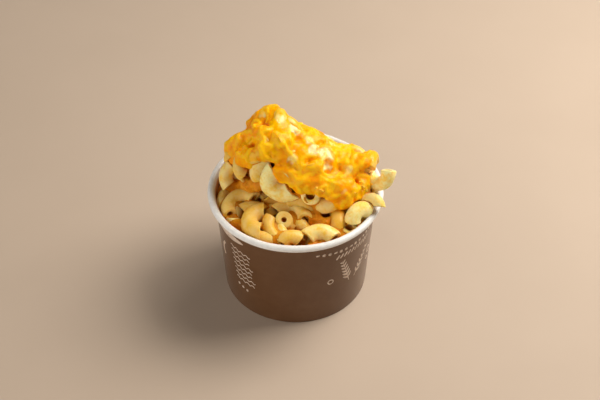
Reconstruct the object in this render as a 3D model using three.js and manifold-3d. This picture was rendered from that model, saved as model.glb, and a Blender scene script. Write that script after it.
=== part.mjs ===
// Mac and cheese in a round paper tub: elbow macaroni heaped over the rim, with cheddar
// melted across the crown of the heap.
// Millimetres, +Z up. Everything is built about the tub's axis, with the table at z = 0, and the
// whole is then shifted so that the origin is under the middle of its bounding box.

import * as THREE from "three";
import { mergeVertices } from "three/addons/utils/BufferGeometryUtils.js";
import Module from "manifold-3d";

const wasm = await Module();
wasm.setup();

// ---------------------------------------------------------------- driving dimensions

// The paper tub.
const TUB_HEIGHT = 61.3;
const RIM_RADIUS = 45;
const ROLL_RADIUS = 1.75; // of the rolled rim's section
const FOOT_RADIUS = 37.4;
const PAPER = 0.6;
const BASE_RECESS = 6; // from the table up to the base disc
const FOOT_FOLD = 4.5; // height of the edge that the wall turns in and up at its foot
const TUB_SIDES = 44;

// Between neighbouring pieces.
const GAP = 0.3;

// Elbow macaroni, cooked.
const NOODLE_RADIUS = 4.2;
const BORE_RADIUS = 2.5;
const BEND_RADIUS = 6.6; // of the tube's middle line
const BEND_SWEEP = 165; // degrees
const NOODLE_SIDES = 8;
const BORE_SIDES = 6;
const NOODLE_STEPS = 6;

// The filling: a bed inside the tub, and a crown standing on it.
const BED_EDGE = 51; // height of the bed's bare core at the wall
const BED_TOP = 56; // and at the tub's axis
const CROWN_SEAT = new THREE.Vector3(1, 5, 66); // every ray from here leaves the crown once
const CROWN_MOUNDS = [
  { centre: [-12, 10, 79], radii: [17, 20, 22] }, // the peak
  { centre: [-17, 6, 72], radii: [19, 17, 14] }, // its left flank
  { centre: [4, 4, 72], radii: [19, 21, 18] }, // the saddle
  { centre: [16, 1, 68], radii: [21, 20, 14] }, // the right slope
  { centre: [24, 3, 66], radii: [20, 15, 10] }, // its toe, out to the rim
];
const MOUND_BLEND = 14; // the higher, the sharper the valleys between mounds
const CORE_INSET = 5; // the bare core lies this deep under the crown's outline
const CROWN_SIDES = 32;
const CROWN_RINGS = 20;

// The melted cheddar.
const CHEDDAR_REACH = 64; // degrees from straight up, seen from the crown's seat
const CHEDDAR_FEATHER = 9; // degrees over which its edge thins away
const CHEDDAR_LOBES = [
  { count: 1, depth: 5, turn: 110 },
  { count: 2, depth: 9, turn: 176 },
  { count: 3, depth: 6, turn: 200 },
  { count: 5, depth: 4, turn: 220 },
  { count: 9, depth: 2.5, turn: 110 },
];

// ---------------------------------------------------------------- solids and geometries

const up = new THREE.Vector3(0, 0, 1);
const degrees = THREE.MathUtils.degToRad;

// A closed geometry as a manifold-3d solid.
function solidOf(geometry) {
  const bare = geometry.clone();
  bare.deleteAttribute("normal");
  bare.deleteAttribute("uv");
  const merged = mergeVertices(bare, 1e-4);
  return new wasm.Manifold(
    new wasm.Mesh({
      numProp: 3,
      vertProperties: merged.attributes.position.array,
      triVerts: new Uint32Array(merged.index.array),
    }),
  );
}

// A manifold-3d solid as a geometry.
function geometryOf(solid) {
  const { numProp, vertProperties, triVerts } = solid.getMesh();
  const geometry = new THREE.BufferGeometry();
  const data = new THREE.InterleavedBuffer(vertProperties, numProp);
  geometry.setAttribute("position", new THREE.InterleavedBufferAttribute(data, 3, 0));
  geometry.setIndex(new THREE.BufferAttribute(triVerts, 1));
  return geometry;
}

// The one large body of a solid: scraps and sealed hollows that joining leaves are dropped.
function largestBody(solid) {
  const bodies = solid.decompose();
  return bodies.reduce((best, body) => (body.volume() > best.volume() ? body : best));
}

// A profile of [radius, height] pairs turned about the Z axis.
function turned(profile, sides) {
  const points = profile.map(([radius, height]) => new THREE.Vector2(radius, height));
  return new THREE.LatheGeometry(points, sides).rotateX(Math.PI / 2);
}

// ---------------------------------------------------------------- the paper tub

const rollCentre = [RIM_RADIUS - ROLL_RADIUS, TUB_HEIGHT - ROLL_RADIUS];

// The wall's outer radius at a height: the sheet flares up to the inside of the roll.
function wallRadius(height) {
  const top = rollCentre[0] - ROLL_RADIUS;
  return FOOT_RADIUS + ((top - FOOT_RADIUS) * height) / rollCentre[1];
}

const innerRadius = (height) => wallRadius(height) - PAPER;

// The wall in one sheet: up the inside, over the rolled rim, down the outside, and turned in and
// up round the base's skirt at the foot.
function tubWall() {
  const roll = [];
  const [first, last, steps] = [160, -140, 10];
  for (let i = 0; i <= steps; i++) {
    const angle = degrees(first + ((last - first) * i) / steps);
    roll.push([
      rollCentre[0] + ROLL_RADIUS * Math.cos(angle),
      rollCentre[1] + ROLL_RADIUS * Math.sin(angle),
    ]);
  }
  const underRoll = roll[steps][1];
  const foldInner = FOOT_RADIUS - 3 * PAPER - 2 * GAP;
  const foldOuter = foldInner + PAPER;
  const profile = [
    [foldInner, FOOT_FOLD],
    [foldOuter, FOOT_FOLD],
    [foldOuter, PAPER],
    [innerRadius(PAPER), PAPER],
    [innerRadius(underRoll), underRoll],
    ...roll,
    [wallRadius(underRoll), underRoll],
    [FOOT_RADIUS, 0],
    [foldInner, 0],
    [foldInner, FOOT_FOLD],
  ];
  return turned(profile.reverse(), TUB_SIDES);
}

const baseTop = BASE_RECESS + PAPER;

// The base disc, with its skirt turned down into the wall's fold.
function tubBase() {
  const skirtOuter = FOOT_RADIUS - PAPER - GAP;
  const skirtInner = skirtOuter - PAPER;
  const skirtFoot = PAPER + GAP;
  const profile = [
    [0, BASE_RECESS],
    [skirtInner, BASE_RECESS],
    [skirtInner, skirtFoot],
    [skirtOuter, skirtFoot],
    [skirtOuter, baseTop],
    [0, baseTop],
  ];
  return turned(profile, TUB_SIDES);
}

// ---------------------------------------------------------------- the heap's bare core

// How far the crown's outline lies from its seat along a unit direction.
function crownRadius(direction) {
  let sum = 0;
  for (const { centre, radii } of CROWN_MOUNDS) {
    const scale = new THREE.Vector3(...radii);
    const from = CROWN_SEAT.clone().sub(new THREE.Vector3(...centre)).divide(scale);
    const ray = direction.clone().divide(scale);
    const a = ray.lengthSq();
    const b = from.dot(ray);
    const root = b * b - a * (from.lengthSq() - 1);
    if (root > 0) sum += Math.max(0, (Math.sqrt(root) - b) / a) ** MOUND_BLEND;
  }
  return sum ** (1 / MOUND_BLEND);
}

// A closed surface round the crown's seat, at radiusAt(direction) along each direction.
function crownShell(radiusAt) {
  const geometry = new THREE.SphereGeometry(1, CROWN_SIDES, CROWN_RINGS);
  geometry.rotateX(Math.PI / 2);
  const position = geometry.attributes.position;
  const direction = new THREE.Vector3();
  for (let i = 0; i < position.count; i++) {
    direction.fromBufferAttribute(position, i).normalize();
    const point = direction.clone().multiplyScalar(radiusAt(direction)).add(CROWN_SEAT);
    position.setXYZ(i, point.x, point.y, point.z);
  }
  return geometry;
}

const coreRadius = (direction) => crownRadius(direction) - CORE_INSET;

// The part of the filling that is wholly inside the tub.
function bed() {
  const bottom = baseTop + GAP;
  const crest = 0.6; // share of the radius over which the bed's top is level
  return turned(
    [
      [0, bottom],
      [innerRadius(bottom) - GAP, bottom],
      [innerRadius(BED_EDGE) - GAP, BED_EDGE],
      [crest * innerRadius(BED_EDGE), BED_TOP],
      [0, BED_TOP],
    ],
    TUB_SIDES,
  );
}

// ---------------------------------------------------------------- one elbow

// A tube bent to an arc, hollow unless its bore is 0. Its middle is at the origin, its hump
// points along +Z and it runs along X there.
function elbow(radius, bore) {
  const half = degrees(BEND_SWEEP / 2);
  const path = new THREE.Curve();
  path.getPoint = (t) => {
    const angle = half * (2 * t - 1);
    return new THREE.Vector3(
      BEND_RADIUS * Math.sin(angle),
      0,
      BEND_RADIUS * (Math.cos(angle) - 1),
    );
  };
  const section = new THREE.Shape(circle(radius, NOODLE_SIDES));
  if (bore) section.holes.push(new THREE.Path(circle(bore, BORE_SIDES)));
  return new THREE.ExtrudeGeometry(section, { extrudePath: path, steps: NOODLE_STEPS });
}

// The corners of a regular polygon.
function circle(radius, sides) {
  return Array.from({ length: sides }, (_, i) => {
    const angle = (2 * Math.PI * i) / sides;
    return new THREE.Vector2(radius * Math.cos(angle), radius * Math.sin(angle));
  });
}

const bareElbow = elbow(NOODLE_RADIUS, BORE_RADIUS);
const grownElbow = elbow(NOODLE_RADIUS + GAP, 0);
const coatedElbow = elbow(NOODLE_RADIUS + 0.4, 0);

// The matrix that lays an elbow at a place, with its hump and its run in these directions.
function laid({ at, hump, run }) {
  const z = new THREE.Vector3(...hump).normalize();
  const y = z.clone().cross(new THREE.Vector3(...run)).normalize();
  const x = y.clone().cross(z);
  return new THREE.Matrix4().makeBasis(x, y, z).setPosition(...at);
}

const solidAt = (geometry, place) => solidOf(geometry.clone().applyMatrix4(laid(place)));

// ---------------------------------------------------------------- where the elbows lie

// Elbows that stand out, each by the middle of its bend, the way its hump points and the way it
// runs there.
const LEADING_ELBOWS = [
  // on the bed, from left to right along the front
  { at: [-34, -8, 57], hump: [-0.5, 0.1, 0.8], run: [0.2, -1, 0] },
  { at: [-26, -10, 61], hump: [-0.1, 0.8, 0.5], run: [1, 0.1, 0] },
  { at: [-21, -21, 60], hump: [-0.7, -0.3, 0.6], run: [-0.4, -1, 0] },
  { at: [-2, -18, 61], hump: [0.2, 0.8, 0.5], run: [1, -0.2, 0] },
  { at: [-9, -26, 59], hump: [-0.6, 0.2, 0.7], run: [0.3, -1, 0] },
  { at: [-3, -32, 57], hump: [0, -0.4, 0.9], run: [1, -0.1, 0] },
  { at: [12, -31, 58], hump: [0, 0.3, 1], run: [1, 0, 0] },
  { at: [19, -24, 60], hump: [-0.5, 0, 0.8], run: [0.3, 1, 0] },
  { at: [29, -20, 61], hump: [-0.3, 0.5, 0.8], run: [1, 0.5, 0] },
  { at: [35, -11, 63], hump: [-0.2, -0.3, 0.9], run: [1, 0.3, 0.1] },
  // under the front of the crown
  { at: [-17, -12, 71], hump: [-0.9, -0.5, 0], run: [0, -0.3, 1] },
  { at: [13, -10, 67], hump: [0.1, 0.9, -0.3], run: [1, 0, 0.3] },
  { at: [20, -15, 65], hump: [0, -0.6, -0.8], run: [1, 0.1, 0] },
  { at: [-32, 2, 71], hump: [-1, -0.1, 0.1], run: [0, -0.4, 0.9] },
  // on the toe, and hanging out over the rim
  { at: [37, 2, 74], hump: [0.5, 0.3, 0.8], run: [0.3, -1, 0.2] },
  { at: [43, -4, 69], hump: [0.1, -0.4, -0.9], run: [1, 0.1, 0.2] },
];

// A seeded stand-in for Math.random.
function randomFrom(seed) {
  let state = seed;
  return () => {
    state = (Math.imul(state, 1664525) + 1013904223) >>> 0;
    return state / 2 ** 32;
  };
}

const random = randomFrom(23);
const GOLDEN_TURN = Math.PI * (3 - Math.sqrt(5));

// A direction drawn at random from all round.
function randomDirection() {
  const z = 2 * random() - 1;
  const turn = 2 * Math.PI * random();
  const across = Math.sqrt(1 - z * z);
  return new THREE.Vector3(across * Math.cos(turn), across * Math.sin(turn), z);
}

// A place at a point, with its hump leaning off the surface's normal: by a little where the
// disorder is under 1, and to any side where it is over 1.
function looseAt(point, normal, disorder) {
  const hump = normal.clone().addScaledVector(randomDirection(), disorder);
  return { at: point.toArray(), hump: hump.toArray(), run: randomDirection().toArray() };
}

// Places in a spiral over the crown, between two angles from straight up.
function crownPlaces({ count, highest, lowest, depth, disorder }) {
  const [top, bottom] = [Math.cos(degrees(highest)), Math.cos(degrees(lowest))];
  return Array.from({ length: count }, (_, i) => {
    const height = top + ((bottom - top) * (i + 0.5)) / count;
    const across = Math.sqrt(1 - height * height);
    const turn = i * GOLDEN_TURN;
    const out = new THREE.Vector3(across * Math.cos(turn), across * Math.sin(turn), height);
    const reach = crownRadius(out) - depth;
    return looseAt(out.clone().multiplyScalar(reach).add(CROWN_SEAT), out, disorder);
  });
}

// Places in a spiral over the bed, from the wall inwards, all but those within the crown.
function bedPlaces({ count, inset, rise, disorder }) {
  const widest = innerRadius(TUB_HEIGHT) - inset;
  return Array.from({ length: count }, (_, i) => {
    const share = Math.sqrt(1 - i / count);
    const height = BED_TOP + (BED_EDGE - BED_TOP) * share ** 4 + rise;
    const turn = i * GOLDEN_TURN;
    const [x, y] = [Math.cos(turn), Math.sin(turn)].map((part) => part * share * widest);
    return looseAt(new THREE.Vector3(x, y, height), up, disorder);
  }).filter(({ at }) => {
    const out = new THREE.Vector3(...at).sub(CROWN_SEAT);
    return out.length() > coreRadius(out.clone().normalize());
  });
}

// The points along an elbow's middle line.
function middleLine(place) {
  const half = degrees(BEND_SWEEP / 2);
  return [-1, -0.5, 0, 0.5, 1].map((share) => {
    const x = BEND_RADIUS * Math.sin(half * share);
    const z = BEND_RADIUS * (Math.cos(half * share) - 1);
    return new THREE.Vector3(x, 0, z).applyMatrix4(laid(place));
  });
}

// The place moved in towards the axis, until no point of the elbow crosses the wall or the rim.
function clearOfTub(place) {
  let excess = 0;
  for (const point of middleLine(place)) {
    const overRim = point.z - NOODLE_RADIUS - GAP > TUB_HEIGHT;
    const room = innerRadius(Math.min(point.z, rollCentre[1])) - NOODLE_RADIUS - 3 * GAP;
    if (!overRim) excess = Math.max(excess, Math.hypot(point.x, point.y) - room);
  }
  const [x, y, z] = place.at;
  const keep = 1 - excess / Math.hypot(x, y);
  return { ...place, at: [x * keep, y * keep, z] };
}

const distance = (a, b) => Math.hypot(...a.at.map((value, i) => value - b.at[i]));

// The first places, and after them those that keep this far from all before and pass a test.
function spaced(first, places, apart, passes) {
  const kept = [...first];
  for (const place of places) {
    const free = kept.every((other) => distance(place, other) > apart);
    if (free && passes(place)) kept.push(place);
  }
  return kept;
}

// ---------------------------------------------------------------- the melted cheddar

// How far past the cheddar's wavy edge a direction lies, in degrees: negative inside it.
function pastCheddar(direction) {
  const turn = Math.atan2(direction.y, direction.x);
  let reach = CHEDDAR_REACH;
  for (const lobe of CHEDDAR_LOBES) {
    reach += lobe.depth * Math.sin(lobe.count * turn + degrees(lobe.turn));
  }
  return THREE.MathUtils.radToDeg(direction.angleTo(up)) - reach;
}

// Whether an elbow is wholly within the cheddar's edge, and no deeper than the blanket.
function underCheddar(place) {
  return middleLine(place).every((point) => {
    const out = point.clone().sub(CROWN_SEAT);
    const deepest = coreRadius(out.clone().normalize()) - NOODLE_RADIUS;
    return pastCheddar(out) < -CHEDDAR_FEATHER / 2 && out.length() > deepest;
  });
}

// A blanket that lies on the bare core and thins away at its edge, with the elbows that it has
// run over standing up in it.
function cheddar() {
  const seat = (direction) => coreRadius(direction) + GAP;
  const thickness = CORE_INSET - 1;
  const blanket = crownShell((direction) => {
    const share = THREE.MathUtils.clamp(-pastCheddar(direction) / CHEDDAR_FEATHER, -1, 1);
    return seat(direction) + thickness * share;
  });
  const places = crownPlaces({ count: 200, highest: 0, lowest: 80, depth: 3.6, disorder: 0.5 });
  let solid = solidOf(blanket);
  for (const place of spaced([], places, 11, underCheddar)) {
    solid = solid.add(solidAt(coatedElbow, place));
  }
  return largestBody(solid.subtract(solidOf(crownShell(seat))));
}

// ---------------------------------------------------------------- the heap

// The bare core with elbows fused on, each where it clears the neighbours and has room.
function macaroni(neighbours) {
  const clear = (place) => {
    const grown = solidAt(grownElbow, place);
    return neighbours.every((other) => grown.intersect(other).volume() === 0);
  };
  const leading = LEADING_ELBOWS.map(clearOfTub).filter(clear);
  const others = [
    ...crownPlaces({ count: 900, highest: 40, lowest: 100, depth: 3.4, disorder: 0.9 }),
    ...bedPlaces({ count: 300, inset: 5, rise: 2, disorder: 0.7 }),
  ].map(clearOfTub);
  let solid = solidOf(bed()).add(solidOf(crownShell(coreRadius)));
  for (const place of spaced(leading, others, 14.2, clear)) {
    solid = solid.add(solidAt(bareElbow, place));
  }
  return largestBody(solid);
}

// ---------------------------------------------------------------- the whole

const cheddarSolid = cheddar();
const macaroniSolid = macaroni([solidOf(tubWall()), cheddarSolid]);

const paper = new THREE.MeshStandardMaterial({ color: 0x5d4129, roughness: 0.62 });
const pasta = new THREE.MeshStandardMaterial({ color: 0xe3b75c, roughness: 0.38 });
const cheese = new THREE.MeshStandardMaterial({ color: 0xf0a012, roughness: 0.32 });
const board = new THREE.MeshStandardMaterial({ color: 0xe6dfd0, roughness: 0.7 });

// A named mesh of one piece.
function piece(name, geometry, material) {
  const mesh = new THREE.Mesh(geometry, material);
  mesh.name = name;
  return mesh;
}

const filled = new THREE.Group();
filled.add(
  piece("tub_wall", tubWall(), paper),
  piece("tub_base", tubBase(), board),
  piece("macaroni", geometryOf(macaroniSolid), pasta),
  piece("melted_cheddar", geometryOf(cheddarSolid), cheese),
);

const middle = new THREE.Box3().setFromObject(filled).getCenter(new THREE.Vector3());
filled.position.set(-middle.x, -middle.y, 0);

const macAndCheese = new THREE.Group();
macAndCheese.add(filled);

export default macAndCheese;
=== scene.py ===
"""Mac and cheese in a round paper tub.

Elbow macaroni in cheese sauce is heaped over the rolled rim of a printed paper tub, and cheddar
has melted across the crown of the heap. Shapes are worked out in millimetres about the tub's
axis, with the table at height 0, and become metres where each mesh is made.
"""

import logging
import math
from dataclasses import dataclass, field
from enum import Enum
from typing import Callable, Sequence

import bpy
import numpy as np
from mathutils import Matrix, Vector
from mathutils.bvhtree import BVHTree


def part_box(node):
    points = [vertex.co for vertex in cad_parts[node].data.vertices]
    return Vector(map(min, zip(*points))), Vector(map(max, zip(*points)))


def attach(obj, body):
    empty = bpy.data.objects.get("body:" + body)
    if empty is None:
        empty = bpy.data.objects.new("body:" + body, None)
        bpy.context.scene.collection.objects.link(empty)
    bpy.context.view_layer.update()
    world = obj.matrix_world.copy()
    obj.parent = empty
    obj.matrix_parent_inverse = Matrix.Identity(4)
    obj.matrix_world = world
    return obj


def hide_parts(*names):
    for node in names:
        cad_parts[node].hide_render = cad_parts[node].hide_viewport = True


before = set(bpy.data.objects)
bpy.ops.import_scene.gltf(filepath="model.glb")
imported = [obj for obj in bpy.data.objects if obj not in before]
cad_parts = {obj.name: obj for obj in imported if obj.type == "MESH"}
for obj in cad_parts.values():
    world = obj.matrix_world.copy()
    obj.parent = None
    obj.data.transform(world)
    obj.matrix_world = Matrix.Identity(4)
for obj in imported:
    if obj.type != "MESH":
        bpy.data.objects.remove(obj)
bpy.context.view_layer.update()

log = logging.getLogger("mac_and_cheese")

MM = 0.001  # metres in a millimetre
UP = np.array([0.0, 0.0, 1.0])
FRONT_LIFT = math.radians(43)  # how steeply the heap is looked down on from the front
FROM_FRONT = np.array([0.0, math.cos(FRONT_LIFT), -math.sin(FRONT_LIFT)])
CORE_SLOPE = 0.85  # true distance for each millimetre of depth under the outline

Triple = tuple[float, float, float]
Colour = tuple[float, float, float, float]
WHITE: Colour = (1.0, 1.0, 1.0, 1.0)


# ---------------------------------------------------------------- numbers


def unit(rows: np.ndarray) -> np.ndarray:
    """Scale vectors to length one.

    Args:
        rows: Vectors along the last axis.

    Returns:
        The same vectors, each of length one.
    """
    return rows / np.maximum(np.linalg.norm(rows, axis=-1, keepdims=True), 1e-9)


def ease(low: float, high: float, value: np.ndarray) -> np.ndarray:
    """Rise smoothly from 0 to 1 between two values.

    Args:
        low: Where the rise starts.
        high: Where it ends. It may be the lower of the two, for a fall.
        value: The values to look up.

    Returns:
        Shares from 0 to 1.
    """
    share = np.clip((value - low) / (high - low), 0, 1)
    return share * share * (3 - 2 * share)


@dataclass(frozen=True)
class Ripple:
    """Smooth seeded noise over space, mostly within -1 and 1, made of plane waves."""

    length: float  # millimetres from crest to crest
    seed: int
    waves: int = 14

    def at(self, points: np.ndarray) -> np.ndarray:
        """Look the noise up.

        Args:
            points: Rows of x, y and z in millimetres.

        Returns:
            One value for each row.
        """
        draw = np.random.default_rng(self.seed)
        pitch = 2 * math.pi / (self.length * draw.uniform(0.7, 1.4, self.waves))
        heading = unit(draw.normal(size=(self.waves, 3))) * pitch[:, None]
        phase = draw.uniform(0, 2 * math.pi, self.waves)
        total = np.zeros(len(points), np.float32)
        for way, start in zip(heading.astype(np.float32), phase.astype(np.float32)):
            total += np.cos(points @ way + start)
        return total / math.sqrt(2 * self.waves)


def blended(first: np.ndarray, second: np.ndarray, blend: float) -> np.ndarray:
    """Join two bodies softly.

    Args:
        first: The first body's field, negative inside it.
        second: The second body's.
        blend: How softly they join, in millimetres.

    Returns:
        The field of both.
    """
    return -blend * np.logaddexp(-first / blend, -second / blend)


def nearness(points: np.ndarray, middle: Triple, radius: float) -> np.ndarray:
    """Fall off from 1 at a place to 0 well away from it.

    Args:
        points: Rows of x, y and z.
        middle: The place.
        radius: How far off it has fallen to about a third.

    Returns:
        Shares from 0 to 1.
    """
    square = ((points - np.array(middle, np.float32)) ** 2).sum(1)
    return np.exp(-square / radius**2)


# ---------------------------------------------------------------- meshes


@dataclass
class Shell:
    """Points and faces in millimetres, with values kept at the points."""

    points: np.ndarray
    faces: np.ndarray
    values: dict[str, np.ndarray] = field(default_factory=dict)

    @staticmethod
    def joined(shells: Sequence["Shell"]) -> "Shell":
        """Put several shells into one.

        Args:
            shells: Shells whose faces have the same number of corners, with the same values.

        Returns:
            One shell that holds them all.
        """
        first = np.cumsum([0] + [len(s.points) for s in shells[:-1]])
        names = shells[0].values.keys()
        return Shell(
            np.concatenate([s.points for s in shells]),
            np.concatenate([s.faces + start for s, start in zip(shells, first)]),
            {name: np.concatenate([s.values[name] for s in shells]) for name in names},
        )

    def sides(self) -> np.ndarray:
        """Every side of every quad, as pairs of point numbers."""
        return np.concatenate([self.faces[:, [i, (i + 1) % 4]] for i in range(4)])

    def without_scraps(self, smallest: int) -> "Shell":
        """Drop the scraps of a skin of quads.

        Args:
            smallest: How many points a separate piece needs to stay.

        Returns:
            The skin without its small pieces.
        """
        label = np.arange(len(self.points))
        sides = self.sides()
        while True:
            least = np.minimum(label[sides[:, 0]], label[sides[:, 1]])
            fresh = label.copy()
            np.minimum.at(fresh, sides[:, 0], least)
            np.minimum.at(fresh, sides[:, 1], least)
            fresh = fresh[fresh]
            if (fresh == label).all():
                break
            label = fresh
        stays = np.bincount(label, minlength=len(label))[label] >= smallest
        number = np.cumsum(stays) - 1
        return Shell(self.points[stays], number[self.faces[stays[self.faces[:, 0]]]])

    def relaxed(self) -> "Shell":
        """Smooth a skin of quads a little, each point halfway towards its neighbours."""
        sides = self.sides()
        count = np.bincount(sides[:, 0], minlength=len(self.points))
        near = np.stack([np.bincount(sides[:, 0], self.points[sides[:, 1], i], len(count))
                         for i in range(3)], -1) / np.maximum(count, 1)[:, None]
        return Shell(self.points * 0.5 + near * 0.5, self.faces, self.values)

    def tree(self) -> BVHTree:
        """Index the faces, for finding the nearest one or the first along a ray."""
        return BVHTree.FromPolygons(self.points.tolist(), self.faces.tolist())

    def object(self, name: str, material: bpy.types.Material) -> bpy.types.Object:
        """Make a Blender object of the shell, smooth shaded, about the tub's axis.

        Args:
            name: The object's name.
            material: Its finish.

        Returns:
            The object, linked into the scene.
        """
        mesh = bpy.data.meshes.new(name)
        corners = self.faces.shape[1]
        placed = (self.points + tub_axis()) * MM
        mesh.vertices.add(len(placed))
        mesh.vertices.foreach_set("co", placed.astype(np.float32).ravel())
        mesh.loops.add(self.faces.size)
        mesh.loops.foreach_set("vertex_index", self.faces.astype(np.int32).ravel())
        mesh.polygons.add(len(self.faces))
        starts = np.arange(0, self.faces.size, corners, dtype=np.int32)
        mesh.polygons.foreach_set("loop_start", starts)
        mesh.update(calc_edges=True)
        mesh.validate()
        for key, numbers in self.values.items():
            layer = mesh.attributes.new(key, "FLOAT", "POINT")
            layer.data.foreach_set("value", numbers.astype(np.float32))
        mesh.shade_smooth()
        mesh.materials.append(material)
        made = bpy.data.objects.new(name, mesh)
        bpy.context.scene.collection.objects.link(made)
        return made


def tub_axis() -> np.ndarray:
    """Find where the tub's axis stands on the table, in millimetres."""
    low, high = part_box("tub_wall")
    return np.array([(low.x + high.x) / 2, (low.y + high.y) / 2, 0]) / MM


def wrapped(rows: int, around: int, closed: bool) -> np.ndarray:
    """List the quads of rings of points, each ring joined to the next.

    Args:
        rows: How many rings there are.
        around: How many points each ring has.
        closed: Whether the last ring joins the first.

    Returns:
        Rows of four point numbers.
    """
    ring = np.arange(rows if closed else rows - 1)[:, None] * around
    after = np.roll(np.arange(rows), -1)[: len(ring), None] * around
    spot = np.arange(around)[None, :]
    beside = np.roll(np.arange(around), -1)[None, :]
    quads = np.stack([ring + spot, ring + beside, after + beside, after + spot], -1)
    return quads.reshape(-1, 4)


def place(piece: bpy.types.Object, nodes: Sequence[str] = ()) -> None:
    """Fix a piece to the tub, hide the solids it stands for, and report it.

    Args:
        piece: The finished object.
        nodes: The solids that the piece stands for.
    """
    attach(piece, "root")
    if nodes:
        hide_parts(*nodes)
    log.info("%s: %d faces", piece.name, len(piece.data.polygons))


# ---------------------------------------------------------------- node wiring


def paint(red: int, green: int, blue: int) -> Colour:
    """Turn a colour of 0 to 255 a channel into the linear values that shaders take.

    Args:
        red: The red channel.
        green: The green channel.
        blue: The blue channel.

    Returns:
        Linear red, green, blue and an alpha of one.
    """
    shares = [channel / 255 for channel in (red, green, blue)]
    linear = [c / 12.92 if c <= 0.04045 else ((c + 0.055) / 1.055) ** 2.4 for c in shares]
    return (linear[0], linear[1], linear[2], 1.0)


class Wiring:
    """Adds nodes to one tree and joins them."""

    def __init__(self, tree: bpy.types.NodeTree) -> None:
        """Work on a tree.

        Args:
            tree: A material's tree or a node group.
        """
        self.tree = tree

    def add(self, kind: str, inputs: dict | None = None, **settings: object) -> bpy.types.Node:
        """Add a node.

        Args:
            kind: The node's type, without its ShaderNode prefix.
            inputs: A value, or a socket to link, for each input's name or number.
            settings: Properties of the node itself.

        Returns:
            The new node.
        """
        made = self.tree.nodes.new(kind if kind.startswith("Node") else "ShaderNode" + kind)
        for name, value in settings.items():
            setattr(made, name, value)
        for name, value in (inputs or {}).items():
            if isinstance(value, bpy.types.NodeSocket):
                self.tree.links.new(value, made.inputs[name])
            else:
                made.inputs[name].default_value = value
        return made

    def noise(self, scale: object, detail: float, distortion: float = 0.0
              ) -> bpy.types.NodeSocket:
        """Look up noise at the surface's own coordinates, in metres.

        Args:
            scale: Crests to a metre, as a number or a socket.
            detail: How many finer layers it has.
            distortion: How far it is stirred.

        Returns:
            The noise value's socket.
        """
        spot = self.add("TexCoord").outputs["Object"]
        inputs = {"Vector": spot, "Scale": scale, "Detail": detail, "Distortion": distortion}
        return self.add("TexNoise", inputs).outputs[0]

    def rise(self, value: object, low: object, high: object) -> bpy.types.NodeSocket:
        """Rise smoothly from 0 to 1 while a value goes from low to high.

        Args:
            value: The value.
            low: Where the rise starts.
            high: Where it ends.

        Returns:
            The share's socket.
        """
        inputs = {"Value": value, "From Min": low, "From Max": high}
        return self.add("MapRange", inputs, interpolation_type="SMOOTHSTEP").outputs[0]

    def kept(self, name: str) -> bpy.types.NodeSocket:
        """Give a value that is kept at the mesh's points."""
        return self.add("Attribute", attribute_name=name).outputs["Fac"]

    def math(self, operation: str, *values: object) -> bpy.types.NodeSocket:
        """Work out one number.

        Args:
            operation: The math node's operation.
            values: Numbers or sockets.

        Returns:
            The result's socket.
        """
        inputs = dict(enumerate(values))
        return self.add("Math", inputs, operation=operation).outputs[0]

    def spread(self, mask: bpy.types.NodeSocket, low: float,
               high: float) -> bpy.types.NodeSocket:
        """Map a mask's 0 to 1 onto the range between two numbers."""
        return self.add("MapRange", {"Value": mask, "To Min": low, "To Max": high}).outputs[0]

    def mix(self, share: object, first: object, second: object) -> bpy.types.NodeSocket:
        """Mix two colours.

        Args:
            share: How much of the second colour shows, as a number or a socket.
            first: A colour or a socket.
            second: A colour or a socket.

        Returns:
            The mixed colour's socket.
        """
        node = self.add("Mix", {0: share, 6: first, 7: second}, data_type="RGBA")
        return node.outputs[2]


def new_group(name: str, inputs: dict, outputs: dict) -> tuple[bpy.types.NodeTree, Wiring]:
    """Start a node group with named sockets.

    Args:
        name: The group's name.
        inputs: Each input's name, with its default number or colour.
        outputs: Each output's name, with "value" or "colour".

    Returns:
        The group, and the wiring that adds its nodes.
    """
    tree = bpy.data.node_groups.new(name, "ShaderNodeTree")
    for key, value in inputs.items():
        kind = "NodeSocketColor" if isinstance(value, tuple) else "NodeSocketFloat"
        socket = tree.interface.new_socket(key, in_out="INPUT", socket_type=kind)
        socket.default_value = value
    for key, value in outputs.items():
        kind = "NodeSocketColor" if value == "colour" else "NodeSocketFloat"
        tree.interface.new_socket(key, in_out="OUTPUT", socket_type=kind)
    return tree, Wiring(tree)


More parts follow.
